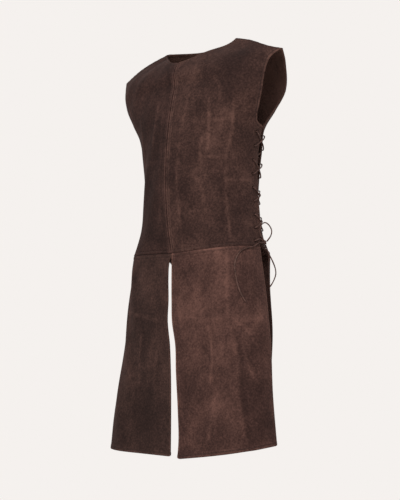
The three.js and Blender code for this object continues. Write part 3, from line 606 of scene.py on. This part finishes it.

# ------------------------------------------------------------- panel details
# Creases from storage and wear, by (row, place): half width in mm, height out in mm, and how far the nap is rubbed
# lighter there; a trough with a negative value is a band of painted shade.
CREASES = {
    "front_bodice_left": [
        ([(0.743, 0.345), (0.647, 0.371), (0.565, 0.391), (0.491, 0.397), (0.417, 0.403)], 4.8, 1.0, 0.38),
        ([(0.725, 0.595), (0.629, 0.605), (0.535, 0.619), (0.463, 0.599), (0.389, 0.573)], 5.0, 1.0, 0.26),
        ([(0.420, 0.580), (0.389, 0.573), (0.293, 0.575), (0.176, 0.583), (0.082, 0.593), (0.006, 0.601)], 4.2, 1.0, 0.28),
        ([(0.600, 0.400), (0.587, 0.479), (0.594, 0.560)], 5.0, 0.6, 0.24),
        ([(0.412, 0.310), (0.407, 0.420), (0.405, 0.500), (0.409, 0.590)], 4.5, 0.7, 0.26),
        ([(0.296, 0.540), (0.293, 0.650), (0.293, 0.729), (0.295, 0.950)], 3.4, 0.8, 0.20),
        ([(0.78, 0.155), (0.62, 0.140), (0.42, 0.120), (0.25, 0.110), (0.06, 0.13)], 5.0, 0.3, 0.20),
        ([(0.33, 0.270), (0.27, 0.340), (0.19, 0.350), (0.10, 0.400)], 6.0, 0.3, 0.24),
        ([(0.520, 0.345), (0.440, 0.330), (0.350, 0.335)], 4.5, 0.4, 0.26),
        ([(0.84, 0.35), (0.76, 0.43), (0.68, 0.47)], 6.0, 0.5, 0.18),
    ],
    "front_bodice_right": [
        ([(0.752, 0.126), (0.660, 0.145), (0.587, 0.164), (0.433, 0.208)], 5.0, 0.6, 0.30),
        ([(0.70, 0.37), (0.58, 0.40), (0.45, 0.41), (0.36, 0.40)], 4.5, 0.6, 0.24),
        ([(0.42, 0.10), (0.41, 0.30), (0.41, 0.52)], 5.0, 0.5, 0.18),
        ([(0.80, 0.60), (0.66, 0.58), (0.50, 0.60), (0.30, 0.58), (0.10, 0.60)], 4.5, 0.8, 0.30),
        ([(0.72, 0.075), (0.50, 0.070), (0.28, 0.070), (0.08, 0.080)], 6.0, 0.3, 0.18),
    ],
    "back_bodice": [
        ([(0.86, 0.02), (0.66, -0.02), (0.46, 0.01), (0.24, -0.01), (0.03, 0.02)], 4.5, 1.0, 0.42),
        ([(0.50, -0.80), (0.49, -0.40), (0.50, 0.0), (0.49, 0.42), (0.50, 0.82)], 4.2, 0.8, 0.36),
        ([(0.74, -0.45), (0.60, -0.50), (0.42, -0.47), (0.30, -0.50)], 4.2, 0.8, 0.36),
        ([(0.72, 0.50), (0.56, 0.46), (0.40, 0.50), (0.22, 0.47)], 4.2, 0.8, 0.34),
        ([(0.16, -0.60), (0.18, -0.25), (0.16, 0.20), (0.19, 0.62)], 5.0, 0.5, 0.24),
    ],
    "front_skirt_left": [
        ([(0.008, 0.537), (0.124, 0.521), (0.271, 0.487), (0.415, 0.467)], 5.5, 1.0, 0.24),
        ([(0.320, 0.030), (0.335, 0.130), (0.349, 0.222), (0.352, 0.340), (0.355, 0.447)], 8.0, 0.9, 0.16),
        ([(0.350, 0.360), (0.357, 0.500), (0.378, 0.663), (0.384, 0.800), (0.379, 0.950)], 7.5, 1.1, 0.17),
        ([(0.360, 0.285), (0.475, 0.303), (0.571, 0.305), (0.689, 0.285)], 4.0, 0.8, 0.27),
        ([(0.200, 0.060), (0.275, 0.062), (0.350, 0.070), (0.440, 0.110)], 9.0, 0.3, 0.20),
        ([(0.370, 0.500), (0.491, 0.520), (0.613, 0.545), (0.758, 0.570), (0.900, 0.585), (0.985, 0.590)], 6.5, 1.1, 0.18),
        # painted shade: a trough darkened along the right of the skirt's drape fold
        ([(0.395, 0.545), (0.491, 0.563), (0.613, 0.588), (0.758, 0.613), (0.900, 0.628), (0.985, 0.632)], 11.0, -0.5, -0.20),
        ([(0.66, 0.34), (0.78, 0.30), (0.88, 0.26), (0.95, 0.25)], 7.0, 0.5, 0.20),
        ([(0.45, 0.72), (0.40, 0.62), (0.37, 0.50)], 6.0, 0.5, 0.18),
        ([(0.52, 0.62), (0.62, 0.70), (0.70, 0.82)], 5.0, 0.6, 0.18),
    ],
    "front_skirt_right": [
        ([(0.293, 0.60), (0.300, 0.407), (0.321, 0.182), (0.331, 0.080)], 6.0, 0.9, 0.26),
        ([(0.383, 0.267), (0.535, 0.271), (0.685, 0.257)], 4.0, 0.7, 0.24),
        ([(0.03, 0.50), (0.15, 0.52), (0.30, 0.50), (0.42, 0.47)], 4.5, 0.7, 0.22),
        ([(0.42, 0.10), (0.60, 0.12), (0.80, 0.10)], 5.0, 0.5, 0.18),
    ],
    "back_skirt": [
        ([(0.34, -0.85), (0.33, -0.40), (0.35, 0.05), (0.33, 0.45), (0.34, 0.85)], 5.5, 1.0, 0.32),
        ([(0.02, 0.0), (0.20, 0.02), (0.40, -0.02), (0.60, 0.01)], 4.0, 0.8, 0.32),
        ([(0.05, 0.50), (0.25, 0.48), (0.50, 0.52), (0.80, 0.50)], 4.5, 0.7, 0.26),
        ([(0.08, -0.55), (0.30, -0.52), (0.55, -0.50), (0.75, -0.53)], 4.5, 0.7, 0.26),
    ],
}
# Brushed or rubbed places, and places of painted shade: (row, place, radius in mm, lighter or darker).
PATCHES = {
    "front_bodice_left": [(0.58, 0.50, 32, 0.06), (0.49, 0.45, 28, 0.05), (0.44, 0.62, 22, 0.03), (0.34, 0.40, 34, 0.10), (0.20, 0.42, 40, 0.06), (0.66, 0.28, 30, -0.16), (0.50, 0.76, 34, -0.08),
                          (0.26, 0.17, 36, -0.16), (0.86, 0.55, 44, -0.18), (0.93, 0.62, 36, -0.16), (0.84, 0.82, 34, -0.12), (0.80, 0.30, 34, -0.10), (0.08, 0.14, 30, -0.08), (0.88, 0.20, 26, 0.06),
                          (0.10, 0.86, 36, 0.06), (0.30, 0.80, 34, 0.10), (0.43, 0.28, 26, -0.12), (0.33, 0.08, 22, -0.10), (0.12, 0.72, 30, -0.06), (0.05, 0.40, 30, -0.06)],
    "front_bodice_right": [(0.62, 0.34, 40, -0.12), (0.30, 0.22, 55, -0.20), (0.12, 0.30, 50, -0.14), (0.46, 0.16, 34, -0.10), (0.78, 0.40, 40, 0.02), (0.70, 0.10, 26, 0.10), (0.40, 0.50, 40, -0.10)],
    "back_bodice": [(0.70, 0.30, 50, 0.12), (0.60, -0.40, 50, -0.12), (0.30, 0.30, 50, -0.12), (0.20, -0.30, 45, 0.12), (0.84, -0.20, 40, 0.08), (0.44, 0.05, 34, 0.12), (0.10, 0.50, 40, -0.10)],
    # on the near skirt, the dark patches low down beyond the drape fold are painted shade where the surface turns from
    # the light
    "front_skirt_left": [(0.22, 0.22, 40, 0.10), (0.10, 0.16, 26, -0.12), (0.30, 0.14, 28, 0.18), (0.05, 0.44, 26, 0.16), (0.27, 0.78, 34, -0.16), (0.20, 0.90, 26, -0.06), (0.48, 0.16, 34, 0.06), (0.70, 0.12, 36, -0.12),
                         (0.90, 0.30, 44, -0.16), (0.78, 0.36, 30, 0.06), (0.72, 0.80, 42, -0.22), (0.88, 0.88, 40, -0.22), (0.50, 0.80, 34, -0.16), (0.56, 0.66, 26, -0.16), (0.50, 0.42, 30, 0.14), (0.88, 0.50, 24, 0.10),
                         (0.36, 0.88, 24, 0.20), (0.13, 0.72, 26, -0.10), (0.97, 0.70, 40, -0.12)],
    "front_skirt_right": [(0.12, 0.45, 14, -0.30), (0.33, 0.20, 40, -0.14), (0.82, 0.14, 60, -0.24), (0.60, 0.30, 40, 0.04), (0.16, 0.20, 40, 0.10), (0.70, 0.50, 46, -0.08), (0.90, 0.50, 46, -0.12)],
    "back_skirt": [(0.30, 0.30, 50, 0.12), (0.60, -0.40, 50, -0.12), (0.75, 0.50, 45, 0.08), (0.20, -0.20, 40, -0.10), (0.85, 0.0, 50, -0.10)],
}


def boundary_lines(p):
    """Dense polylines along each kind of edge, in mm."""
    E = {}
    signs = (-1, 1) if p.whole else (1,)
    join = lambda parts: np.vstack(parts)
    s_all = np.linspace(0, 1, 500)
    if p.down:
        E["side"] = join([p.at(s_all, k * p.outer(s_all)) for k in signs])
        if not p.whole:
            E["slit"] = p.at(s_all, p.inner(s_all))
        a, b = (-1, 1) if p.whole else (0, 1)
        E["hip"] = p.at(np.zeros(500), np.linspace(a, b, 500))
        E["hem"] = p.at(np.ones(500), np.linspace(a, b, 500))
    else:
        s_side, s_arm = np.linspace(0, ARMHOLE_S, 260), np.linspace(ARMHOLE_S, 1, 500)
        E["side"] = join([p.at(s_side, k * np.ones(260)) for k in signs])
        E["arm"] = join([p.at(s_arm, k * p.outer(s_arm)) for k in signs])
        start = BACK_NECK_S if p.whole else NECK_S
        s_neck = np.concatenate([[start], start + (1 - start) * np.linspace(0.0, 1, 400)[1:] ** 1.6])
        E["neck"] = join([p.at(s_neck, k * p.inner(s_neck)) for k in signs])
        if not p.whole:
            s_cf = np.linspace(0, NECK_S, 400)
            E["cf"] = p.at(s_cf, np.zeros(400))
        a, b = (-1, 1) if p.whole else (0, 1)
        E["hip"] = p.at(np.zeros(500), np.linspace(a, b, 500))
        t_sh = np.linspace(float(p.inner(1.0)), 1, 200)
        E["shoulder"] = join([p.at(np.ones(200), k * t_sh) for k in signs])
    return E


for p in PANELS.values():
    p.edges = boundary_lines(p)
    for st, w, h, r in CREASES.get(p.name, []):
        line, along = p.line(st)
        p.marks.append((line, w, h, r, rng.uniform(0, 6.28, 3)))
    p.waves = [(rng.uniform(3, 9), rng.uniform(3, 9), rng.uniform(0, 6.28), rng.uniform(0.25, 0.6)) for _ in range(5)]
    p.holes = []
for side in SIDES.values():
    for h in side["front"]:
        side["fp"].holes.append(h)
    for h in side["back"]:
        side["bp"].holes.append(h)

TURN = {"arm": 9.0, "neck": 8.0, "hem": 9.5, "slit": 8.0, "side": 8.0}
SEAMS = {"cf": (6.8, 1.0), "hip": (9.5, 0.55), "shoulder": (5.5, 0.8)}


def details(p, s, t):
    """Height added outside, height added inside, and the colour shift for rubbed wear and for painted shade and
    highlights, at each (s, t).
    """
    P = p.at(s, t)
    h_out, h_in, wear_and_painted_light = np.zeros(P.shape[:-1]), np.zeros(P.shape[:-1]), np.zeros(P.shape[:-1])
    calm = np.ones(P.shape[:-1])
    for kind, line in p.edges.items():
        d, k = distance(P, line)
        calm = np.minimum(calm, smooth(4, 45, d))
        wob = 1 + 0.25 * np.sin(k * 61 + 1.3) + 0.2 * np.sin(k * 147)
        if kind in TURN:
            w = TURN[kind]
            h_out += 0.42 * (1 - smooth(w - 1.0, w + 3.0, d)) - 0.45 * np.exp(-((d - w + 2.2) / 0.9) ** 2) * wob - 0.45 * np.exp(-(d / 1.0) ** 2)
            h_in += 0.9 * (1 - smooth(w + 0.2, w + 1.2, d)) - 0.5 * np.exp(-(d / 0.9) ** 2)
            # lighter along the cut edge: rubbed wear, with painted highlight on the armhole rims; painted shade darkens
            # the stitch groove in from the edge
            edge_wear_and_rim_highlight = 0.34 if kind == "slit" and p.name == "front_skirt_left" else 0.26 if kind == "arm" else 0.16
            wear_and_painted_light += edge_wear_and_rim_highlight * np.exp(-((d - 2.0) / 2.6) ** 2) * wob - 0.20 * np.exp(-((d - w + 2.2) / 1.1) ** 2) + 0.10 * np.exp(-((d - w - 0.5) / 1.4) ** 2)
        if kind in SEAMS:
            w, dip = SEAMS[kind]
            lower = kind == "hip" and p.down
            up = 0.7 if lower else 0.6
            groove = 0.28 if kind == "hip" else 0.45
            h_out += up * np.exp(-((d - 2.9) / 2.2) ** 2) * wob - (dip + up * 0.2) * np.exp(-(d / 1.0) ** 2) - groove * np.exp(-((d - w) / 0.9) ** 2)
            h_out += 0.25 * np.exp(-((d - w - 2.2) / 1.6) ** 2)
            h_in += 1.0 * (1 - smooth(w + 2, w + 3.2, d))
            light = 0.42 if lower and p.name == "front_skirt_left" else 0.10 if lower else (0.30 if p.side > 0 else 0.46) if kind == "cf" else 0.04
            if lower and p.name == "front_skirt_left":  # painted highlight: the strip of skirt just below the hip seam is made lighter, most near x = 120 mm and at the centre front
                light = light * (0.16 + 1.15 * np.exp(-((P[..., 0] - 120) / 30) ** 2) + 0.9 * np.exp(-(P[..., 0] / 16) ** 2))
            # painted shade: the seam line itself and the stitch groove beside it are darkened
            dark = 0.05 if kind == "hip" and p.name.endswith("left") else 0.20 if kind == "hip" else 0.40
            stitch_groove_shade = 0.10 if kind == "hip" else 0.20
            wear_and_painted_light += light * np.exp(-((d - 3.0) / 2.4) ** 2) * wob - dark * np.exp(-(d / 1.1) ** 2) - stitch_groove_shade * np.exp(-((d - w) / 1.1) ** 2)
            wear_and_painted_light += (0.26 if kind == "cf" else 0.09) * np.exp(-((d - w - 2.2) / 1.6) ** 2) * wob
    for line, w, h, r, ph in p.marks:
        d, k = distance(P, line)
        taper = smooth(0, 0.12, k) * smooth(0, 0.16, 1 - k)
        vary = 0.78 + 0.22 * np.sin(k * 9 + ph[0]) * np.cos(k * 23 + ph[1])
        h_out += h * taper * vary * (np.exp(-(d / w) ** 2) - 0.5 * np.exp(-((d - 1.9 * w) / w) ** 2))
        wear_and_painted_light += r * taper * vary * np.exp(-(d / (w * 0.9)) ** 2)
    for ps, pt, rad, amount in PATCHES.get(p.name, []):
        d = np.linalg.norm(P - p.at(ps, pt), axis=-1)
        wear_and_painted_light += amount * np.exp(-(d / rad) ** 2)
    for h in p.holes:
        d = np.linalg.norm(P - h.at, axis=-1)
        h_out -= 0.5 * np.exp(-((d - HOLE_R) / 1.3) ** 2)
        wear_and_painted_light -= 0.35 * np.exp(-((d - HOLE_R) / 1.5) ** 2)
    wave = sum(a * np.sin(ks * s * 6.28 * 0.5 + kt * t * 3.1 + ph) for ks, kt, ph, a in p.waves)
    return h_out, h_in, wear_and_painted_light, wave * calm


def steps(knots, counts):
    """Parameter values with the given number of steps between knots."""
    out = [knots[0]]
    for a, b, n in zip(knots[:-1], knots[1:], counts):
        out += list(a + (b - a) * np.arange(1, n + 1) / n)
    return np.array(out)


def build(p):
    if p.down:
        rows = steps([0, 0.004, 0.04, 0.975, 0.992, 1], [3, 14, 146, 6, 4])
    elif p.whole:
        rows = steps([0, 0.003, 0.018, 0.55, 0.60, 0.948, 0.955, 0.97, 0.985, 1], [3, 6, 96, 14, 62, 4, 12, 8, 9])
    else:
        rows = steps([0, 0.003, 0.018, 0.55, 0.60, 0.885, 0.90, 0.93, 0.985, 1], [3, 6, 96, 14, 56, 5, 14, 14, 8])
    cols = steps([0, 0.008, 0.045, 0.955, 0.992, 1], [3, 7, 78, 7, 3])
    verts, faces, wear_and_painted_light_values, uvs = [], [], [], []
    nS, nT = len(rows), len(cols)
    r_uv, c_uv = 0.06 + 0.93 * (rows - rows[0]), cols
    lo, hi = p.inner(rows)[:, None], p.outer(rows)[:, None]
    base_t = lo + cols[None, :] * (hi - lo)
    for block in ((-1, 1) if p.whole else (1,)):
        T = base_t * block
        if p.whole and block < 0:
            T = np.where(base_t == 0, -0.0, T)
        S = np.repeat(rows[:, None], nT, 1)
        if p.down:  # the hem's corners are turned round, not square
            wide = 320.0 if not p.whole else 210.0
            near = (1 - cols) * wide if p.whole else np.minimum(cols, 1 - cols) * wide
            k = np.clip(1 - near / CORNER, 0, 1)
            S = S - (CORNER * (1 - np.sqrt(1 - k * k)) / 505.0)[None, :] * S ** 40
        M, N = p.at(S, T), p.out(S, T)
        h_out, h_in, wear_and_painted_light, wave = details(p, S, T)
        lift = (p.fold(S, T) + wave)[..., None] * N
        A = M + lift + N * (HALF + h_out)[..., None]
        B = M + lift - N * (HALF + h_in)[..., None]
        base = sum(len(v) for v in verts)
        verts += [A.reshape(-1, 3), B.reshape(-1, 3)]
        # painted light: the inside face is made lighter, on the back bodice more so towards the sides, to stand in for
        # light reaching the interior
        inner_painted_light = 0.42 + 0.40 * smooth(110, 190, np.abs(M[..., 0])) if p.name == "back_bodice" else np.full(wear_and_painted_light.shape, 0.46)
        wear_and_painted_light_values += [wear_and_painted_light.reshape(-1), inner_painted_light.reshape(-1)]
        ida = lambda i, j: base + i * nT + j
        idb = lambda i, j: base + nS * nT + i * nT + j
        flip = ((p.side * block < 0) != (not p.front)) != p.down
        I, J = np.meshgrid(np.arange(nS - 1), np.arange(nT - 1), indexing="ij")
        I, J = I.ravel(), J.ravel()
        qa = np.stack([ida(I, J), ida(I, J + 1), ida(I + 1, J + 1), ida(I + 1, J)], 1)
        qb = np.stack([idb(I, J), idb(I + 1, J), idb(I + 1, J + 1), idb(I, J + 1)], 1)
        if flip:
            qa, qb = qa[:, ::-1], qb[:, ::-1]
        faces += [qa, qb]
        half = 0.235 if p.whole else 0.48
        u0 = 0.005 + (0.245 if p.whole and block > 0 else 0.0)
        for q, start in ((qa, u0), (qb, u0 + 0.5)):
            k = (q - (ida(0, 0) if start == u0 else idb(0, 0)))
            uvs.append(np.stack([start + half * c_uv[k % nT], r_uv[k // nT]], -1))
        # the cut edge all round, with a rounded middle line
        ring, welded = [], []
        for j in range(nT - 1):
            ring.append((0, j))
        for i in range(nS - 1):
            ring.append((i, nT - 1))
        for j in range(nT - 1, 0, -1):
            ring.append((nS - 1, j))
        for i in range(nS - 1, 0, -1):
            ring.append((i, 0))
        ri, rj = np.array([q[0] for q in ring]), np.array([q[1] for q in ring])
        inn_i, inn_j = np.clip(ri, 1, nS - 2), np.clip(rj, 1, nT - 2)
        away = M[ri, rj] - M[inn_i, inn_j]
        away -= N[ri, rj] * (away * N[ri, rj]).sum(-1, keepdims=True)
        away /= np.maximum(1e-6, np.linalg.norm(away, axis=-1, keepdims=True))
        seam = (rj == 0) & (ri > 0) & (p.inner(rows)[ri] <= 0.0) if not p.down else np.zeros(len(ri), bool)
        seam |= (ri == 0)
        if not p.down:
            seam |= (ri == nS - 1)
        # where panels are sewn together, the turnings meet inside the seam
        bulge = np.where(seam, 1.15 if p.whole else 0.75 if p.down else 0.45, 0.45)
        if p.whole:
            bulge = np.where((rj == 0) & ~seam & (np.asarray(p.inner(rows))[ri] <= 0), 0.0, bulge)
        mid = A[ri, rj] * 0.35 + B[ri, rj] * 0.65 + away * bulge[:, None]
        mbase = base + 2 * nS * nT
        verts.append(mid)
        wear_and_painted_light_values.append(np.full(len(mid), 0.04))
        n = len(ring)
        is_weld = lambda a, b: p.whole and ring[a][1] == 0 and ring[b][1] == 0 and p.inner(rows[ring[a][0]]) == 0 and p.inner(rows[ring[b][0]]) == 0 and ring[a][0] != ring[b][0]
        rim_faces, rim_uv = [], []
        low = 0.0 if block < 0 else 0.025
        for a in range(n):
            b = (a + 1) % n
            if is_weld(a, b):
                continue
            q1 = (ida(*ring[a]), mbase + a, mbase + b, ida(*ring[b]))
            q2 = (mbase + a, idb(*ring[a]), idb(*ring[b]), mbase + b)
            ua, ub = a / n, (a + 1) / n
            w1 = [(ua, low), (ua, low + 0.01), (ub, low + 0.01), (ub, low)]
            w2 = [(ua, low + 0.01), (ua, low + 0.02), (ub, low + 0.02), (ub, low + 0.01)]
            rim_faces += [q1[::-1], q2[::-1]] if flip else [q1, q2]
            rim_uv += [w1[::-1], w2[::-1]] if flip else [w1, w2]
        faces.append(np.array(rim_faces))
        uvs.append(np.array(rim_uv))
    V = np.vstack(verts)
    F = np.vstack(faces)
    R = np.concatenate(wear_and_painted_light_values)
    if p.whole:  # weld the two halves down the middle
        key = np.round(V, 3)
        near = np.flatnonzero(np.abs(V[:, 0]) < 1e-3)
        first, remap = {}, np.arange(len(V))
        for i in near:
            k = tuple(key[i])
            if k in first:
                remap[i] = first[k]
            else:
                first[k] = i
        F = remap[F]
    used = np.zeros(len(V), bool)
    used[F.ravel()] = True
    new_id = np.cumsum(used) - 1
    V, R, F = V[used], R[used], new_id[F]
    ob = new_mesh(p.name + "_suede", V, F, SUEDE[p.name])
    layer = ob.data.uv_layers.new(name="OFBake")
    layer.data.foreach_set("uv", np.vstack(uvs).reshape(-1).astype(np.float32))
    att = ob.data.attributes.new("wear_and_painted_light", "FLOAT", "POINT")
    att.data.foreach_set("value", R.astype(np.float32))
    return ob


def punch(ob, holes):
    """Cuts the lace holes with small round cutters."""
    verts, faces = [], []
    n = 16
    for h in holes:
        z = h.out
        x = np.cross(z, [0, 0, 1.0]); x /= np.linalg.norm(x)
        y = np.cross(z, x)
        a = np.linspace(0, 2 * np.pi, n, endpoint=False)
        ring = np.outer(np.cos(a), x) + np.outer(np.sin(a), y)
        base = len(verts)
        verts += list(h.at + ring * HOLE_R - z * 7) + list(h.at + ring * HOLE_R + z * 7)
        for k in range(n):
            k2 = (k + 1) % n
            faces.append((base + k, base + k2, base + n + k2, base + n + k))
        faces.append(tuple(base + k for k in range(n - 1, -1, -1)))
        faces.append(tuple(base + n + k for k in range(n)))
    cutter = new_mesh("cutter", verts, faces, ob.data.materials[0], False)
    bm = ob.modifiers.new("holes", "BOOLEAN")
    bm.operation, bm.object, bm.solver = "DIFFERENCE", cutter, "EXACT"
    dg = bpy.context.evaluated_depsgraph_get()
    me = bpy.data.meshes.new_from_object(ob.evaluated_get(dg))
    ob.modifiers.clear()
    old = ob.data
    ob.data = me
    bpy.data.meshes.remove(old)
    bpy.data.objects.remove(cutter)
    return ob


# ------------------------------------------------------------------ stitching
def inset_line(p, s, t, dist, toward):
    """(s, t) of points `dist` mm in from an edge line; toward is an inner (s, t)."""
    P, N = p.at(s, t), p.out(s, t)
    T = np.gradient(P, axis=0)
    T /= np.linalg.norm(T, axis=1, keepdims=True)
    D = np.cross(N, T)
    back = p.at(*toward) - P
    D *= np.where((D * back).sum(-1, keepdims=True) < 0, -1, 1)
    target = P + D * dist
    s, t = s.copy(), t.copy()
    e = 1e-3
    for _ in range(5):
        Q = p.at(s, t)
        js = (p.at(np.clip(s + e, 0, 1), t) - p.at(np.clip(s - e, 0, 1), t)) / (np.clip(s + e, 0, 1) - np.clip(s - e, 0, 1))[:, None]
        jt = (p.at(s, t + e) - p.at(s, t - e)) / (2 * e)
        r = target - Q
        a, b, c = (js * js).sum(-1), (js * jt).sum(-1), (jt * jt).sum(-1)
        u, v = (js * r).sum(-1), (jt * r).sum(-1)
        det = a * c - b * b
        s = np.clip(s + (c * u - b * v) / det, 0, 1)
        t = np.clip(t + (a * v - b * u) / det, -0.999 if p.whole else 0.0, 0.999)
    return s, t


def stitch_row(p, s, t, dist, toward, pitch=3.6, ends=(6, 6)):
    s, t = inset_line(p, s, t, dist, toward)
    P = p.at(s, t)
    run = np.concatenate([[0], np.cumsum(np.linalg.norm(np.diff(P, axis=0), axis=1))])
    c = np.arange(ends[0], run[-1] - ends[1], pitch)
    if len(c) < 3:
        return [], []
    c = c + rng.uniform(-0.15, 0.15, len(c))
    ss, tt = np.interp(c, run, s), np.interp(c, run, t)
    h, _, _, wave = details(p, ss, tt)
    N = p.out(ss, tt)
    C = p.at(ss, tt) + N * (HALF + h + p.fold(ss, tt) + wave)[:, None]
    T = np.gradient(p.at(ss, tt), axis=0)
    T /= np.linalg.norm(T, axis=1, keepdims=True)
    Bn = np.cross(N, T)
    prof = [(-1.35, -0.30, 0.16), (-0.75, 0.16, 0.40), (0.75, 0.16, 0.40), (1.35, -0.30, 0.16)]
    sides = 6
    a = np.linspace(0, 2 * np.pi, sides, endpoint=False)
    verts, faces = [], []
    slant = rng.uniform(-0.10, 0.10, len(c))
    for i in range(len(c)):
        base = len(verts)
        d = T[i] + Bn[i] * slant[i]
        for (l, up, r) in prof:
            o = C[i] + d * l + N[i] * up
            verts += list(o + np.outer(np.cos(a) * r, Bn[i]) + np.outer(np.sin(a) * r, N[i]))
        for k in range(len(prof) - 1):
            for m in range(sides):
                m2 = (m + 1) % sides
                faces.append((base + k * sides + m, base + (k + 1) * sides + m, base + (k + 1) * sides + m2, base + k * sides + m2))
        faces.append(tuple(base + m for m in range(sides)))
        faces.append(tuple(base + (len(prof) - 1) * sides + m for m in range(sides - 1, -1, -1)))
    return verts, faces


def stitching(p):
    rows = []
    n = 500
    full = np.linspace(0, 1, n)
    for k in ((-1, 1) if p.whole else (1,)):
        if p.down:
            lo, hi = (float(p.inner(0.0)), 1.0), (float(p.inner(1.0)), 1.0)
            t_top, t_bot = lo[0] + full * (lo[1] - lo[0]), hi[0] + full * (hi[1] - hi[0])
            rows.append(stitch_row(p, np.zeros(n), k * t_top, 6.0, (np.full(n, 0.05), k * t_top), ends=(3, 3)))
            rows.append(stitch_row(p, np.ones(n), k * t_bot, 7.3, (np.full(n, 0.95), k * t_bot)))
            rows.append(stitch_row(p, full, k * np.ones(n), 5.8, (full, k * np.full(n, 0.9))))
            if not p.whole:
                rows.append(stitch_row(p, full, p.inner(full), 5.8, (full, p.inner(full) + 0.1)))
        else:
            s_arm = ARMHOLE_S + (1 - ARMHOLE_S) * full ** 1.3
            start = BACK_NECK_S if p.whole else NECK_S
            s_neck = start + (1 - start) * full ** 1.6
            rows.append(stitch_row(p, s_arm, k * p.outer(s_arm), 6.8, (s_arm, k * (p.outer(s_arm) - 0.1)), ends=(9, 7)))
            rows.append(stitch_row(p, s_neck, k * p.inner(s_neck), 5.8, (s_neck, k * (p.inner(s_neck) + 0.1)), ends=(7, 7)))
            s_side = full * ARMHOLE_S
            rows.append(stitch_row(p, s_side, k * np.ones(n), 5.8, (s_side, k * np.full(n, 0.9)), ends=(7, 9)))
            rows.append(stitch_row(p, np.zeros(n), k * full, 6.0, (np.full(n, 0.05), k * full), ends=(3, 7)))
            t_sh = float(p.inner(1.0)) + full * (1 - float(p.inner(1.0)))
            if not p.front:
                rows.append(stitch_row(p, np.ones(n), k * t_sh, 5.5, (np.full(n, 0.95), k * t_sh), ends=(7, 9)))
            if not p.whole:
                s_cf = full * NECK_S
                rows.append(stitch_row(p, s_cf, np.zeros(n), 6.5, (s_cf, np.full(n, 0.1)), ends=(7, 7)))
    verts, faces = [], []
    for v, f in rows:
        base = len(verts)
        verts += v
        faces += [tuple(i + base for i in q) for q in f]
    ob = new_mesh(p.name + "_stitches", verts, faces, THREAD)
    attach(ob, "root")
    return ob


# ----------------------------------------------------------- panels into scene
FLAT = {  # width, length and area of the flat cut, in metres; nothing is put in it
}
for p in PANELS.values():
    ob = build(p)
    if p.holes:
        ob = punch(ob, p.holes)
    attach(ob, "root")
    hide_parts(p.name)
    st = stitching(p)
    # the flat cut: a grid of points over the panel and the cross products of its cells
    s = np.linspace(0, 1, 160)[:, None]
    c = np.linspace(0, 1, 120)[None, :]
    T = p.inner(s) + c * (p.outer(s) - p.inner(s))
    G = p.at(np.broadcast_to(s, T.shape), T)
    b = np.cross(G[1:, :-1] - G[1:, 1:], G[:-1, 1:] - G[1:, 1:])

for ob, length in cord_objects:
    print("CORD", ob.name, round(length, 3))

# -------------------------------------------------------------- stage and light
bpy.ops.mesh.primitive_circle_add(vertices=96, radius=6.0, fill_type="NGON", location=(0, 0, -1.50))
floor = bpy.context.object
floor.name = "floor"
fm = bpy.data.materials.new("floor_paper")
nt, bsdf = nodes_of(fm)
bsdf.inputs["Base Color"].default_value = srgb(238, 234, 230)
bsdf.inputs["Roughness"].default_value = 0.95
floor.data.materials.append(fm)

world = bpy.data.worlds.new("world")
bpy.context.scene.world = world
world.use_nodes = True
nt = world.node_tree
nt.nodes.clear()
out = nt.nodes.new("ShaderNodeOutputWorld")
seen = nt.nodes.new("ShaderNodeBackground")
lit = nt.nodes.new("ShaderNodeBackground")
mix = nt.nodes.new("ShaderNodeMixShader")
path = nt.nodes.new("ShaderNodeLightPath")
seen.inputs["Color"].default_value = srgb(245, 241, 238)
lit.inputs["Color"].default_value = (0.98, 0.99, 1.0, 1)
lit.inputs["Strength"].default_value = 0.60
nt.links.new(path.outputs["Is Camera Ray"], mix.inputs[0])
nt.links.new(lit.outputs[0], mix.inputs[1])
nt.links.new(seen.outputs[0], mix.inputs[2])
nt.links.new(mix.outputs[0], out.inputs[0])


def softbox(name, where, target, size, power, color=(1, 1, 1)):
    d = bpy.data.lights.new(name, "AREA")
    d.shape, d.size, d.energy, d.color = "DISK", size, power, color
    o = bpy.data.objects.new(name, d)
    bpy.context.scene.collection.objects.link(o)
    o.location = where
    o.rotation_euler = (Vector(target) - Vector(where)).to_track_quat("-Z", "Y").to_euler()
    return o


softbox("key", (1.5, -2.6, 0.9), (0, 0, -0.5), 1.6, 59)
softbox("fill", (-2.8, -1.6, 0.2), (0, 0, -0.5), 2.2, 5)
softbox("side", (2.7, -1.7, 0.0), (0.15, 0, -0.35), 1.4, 8)
softbox("rear", (-1.0, 2.8, 0.8), (0, 0, -0.5), 2.0, 22)
bpy.context.scene.view_settings.view_transform = "Standard"
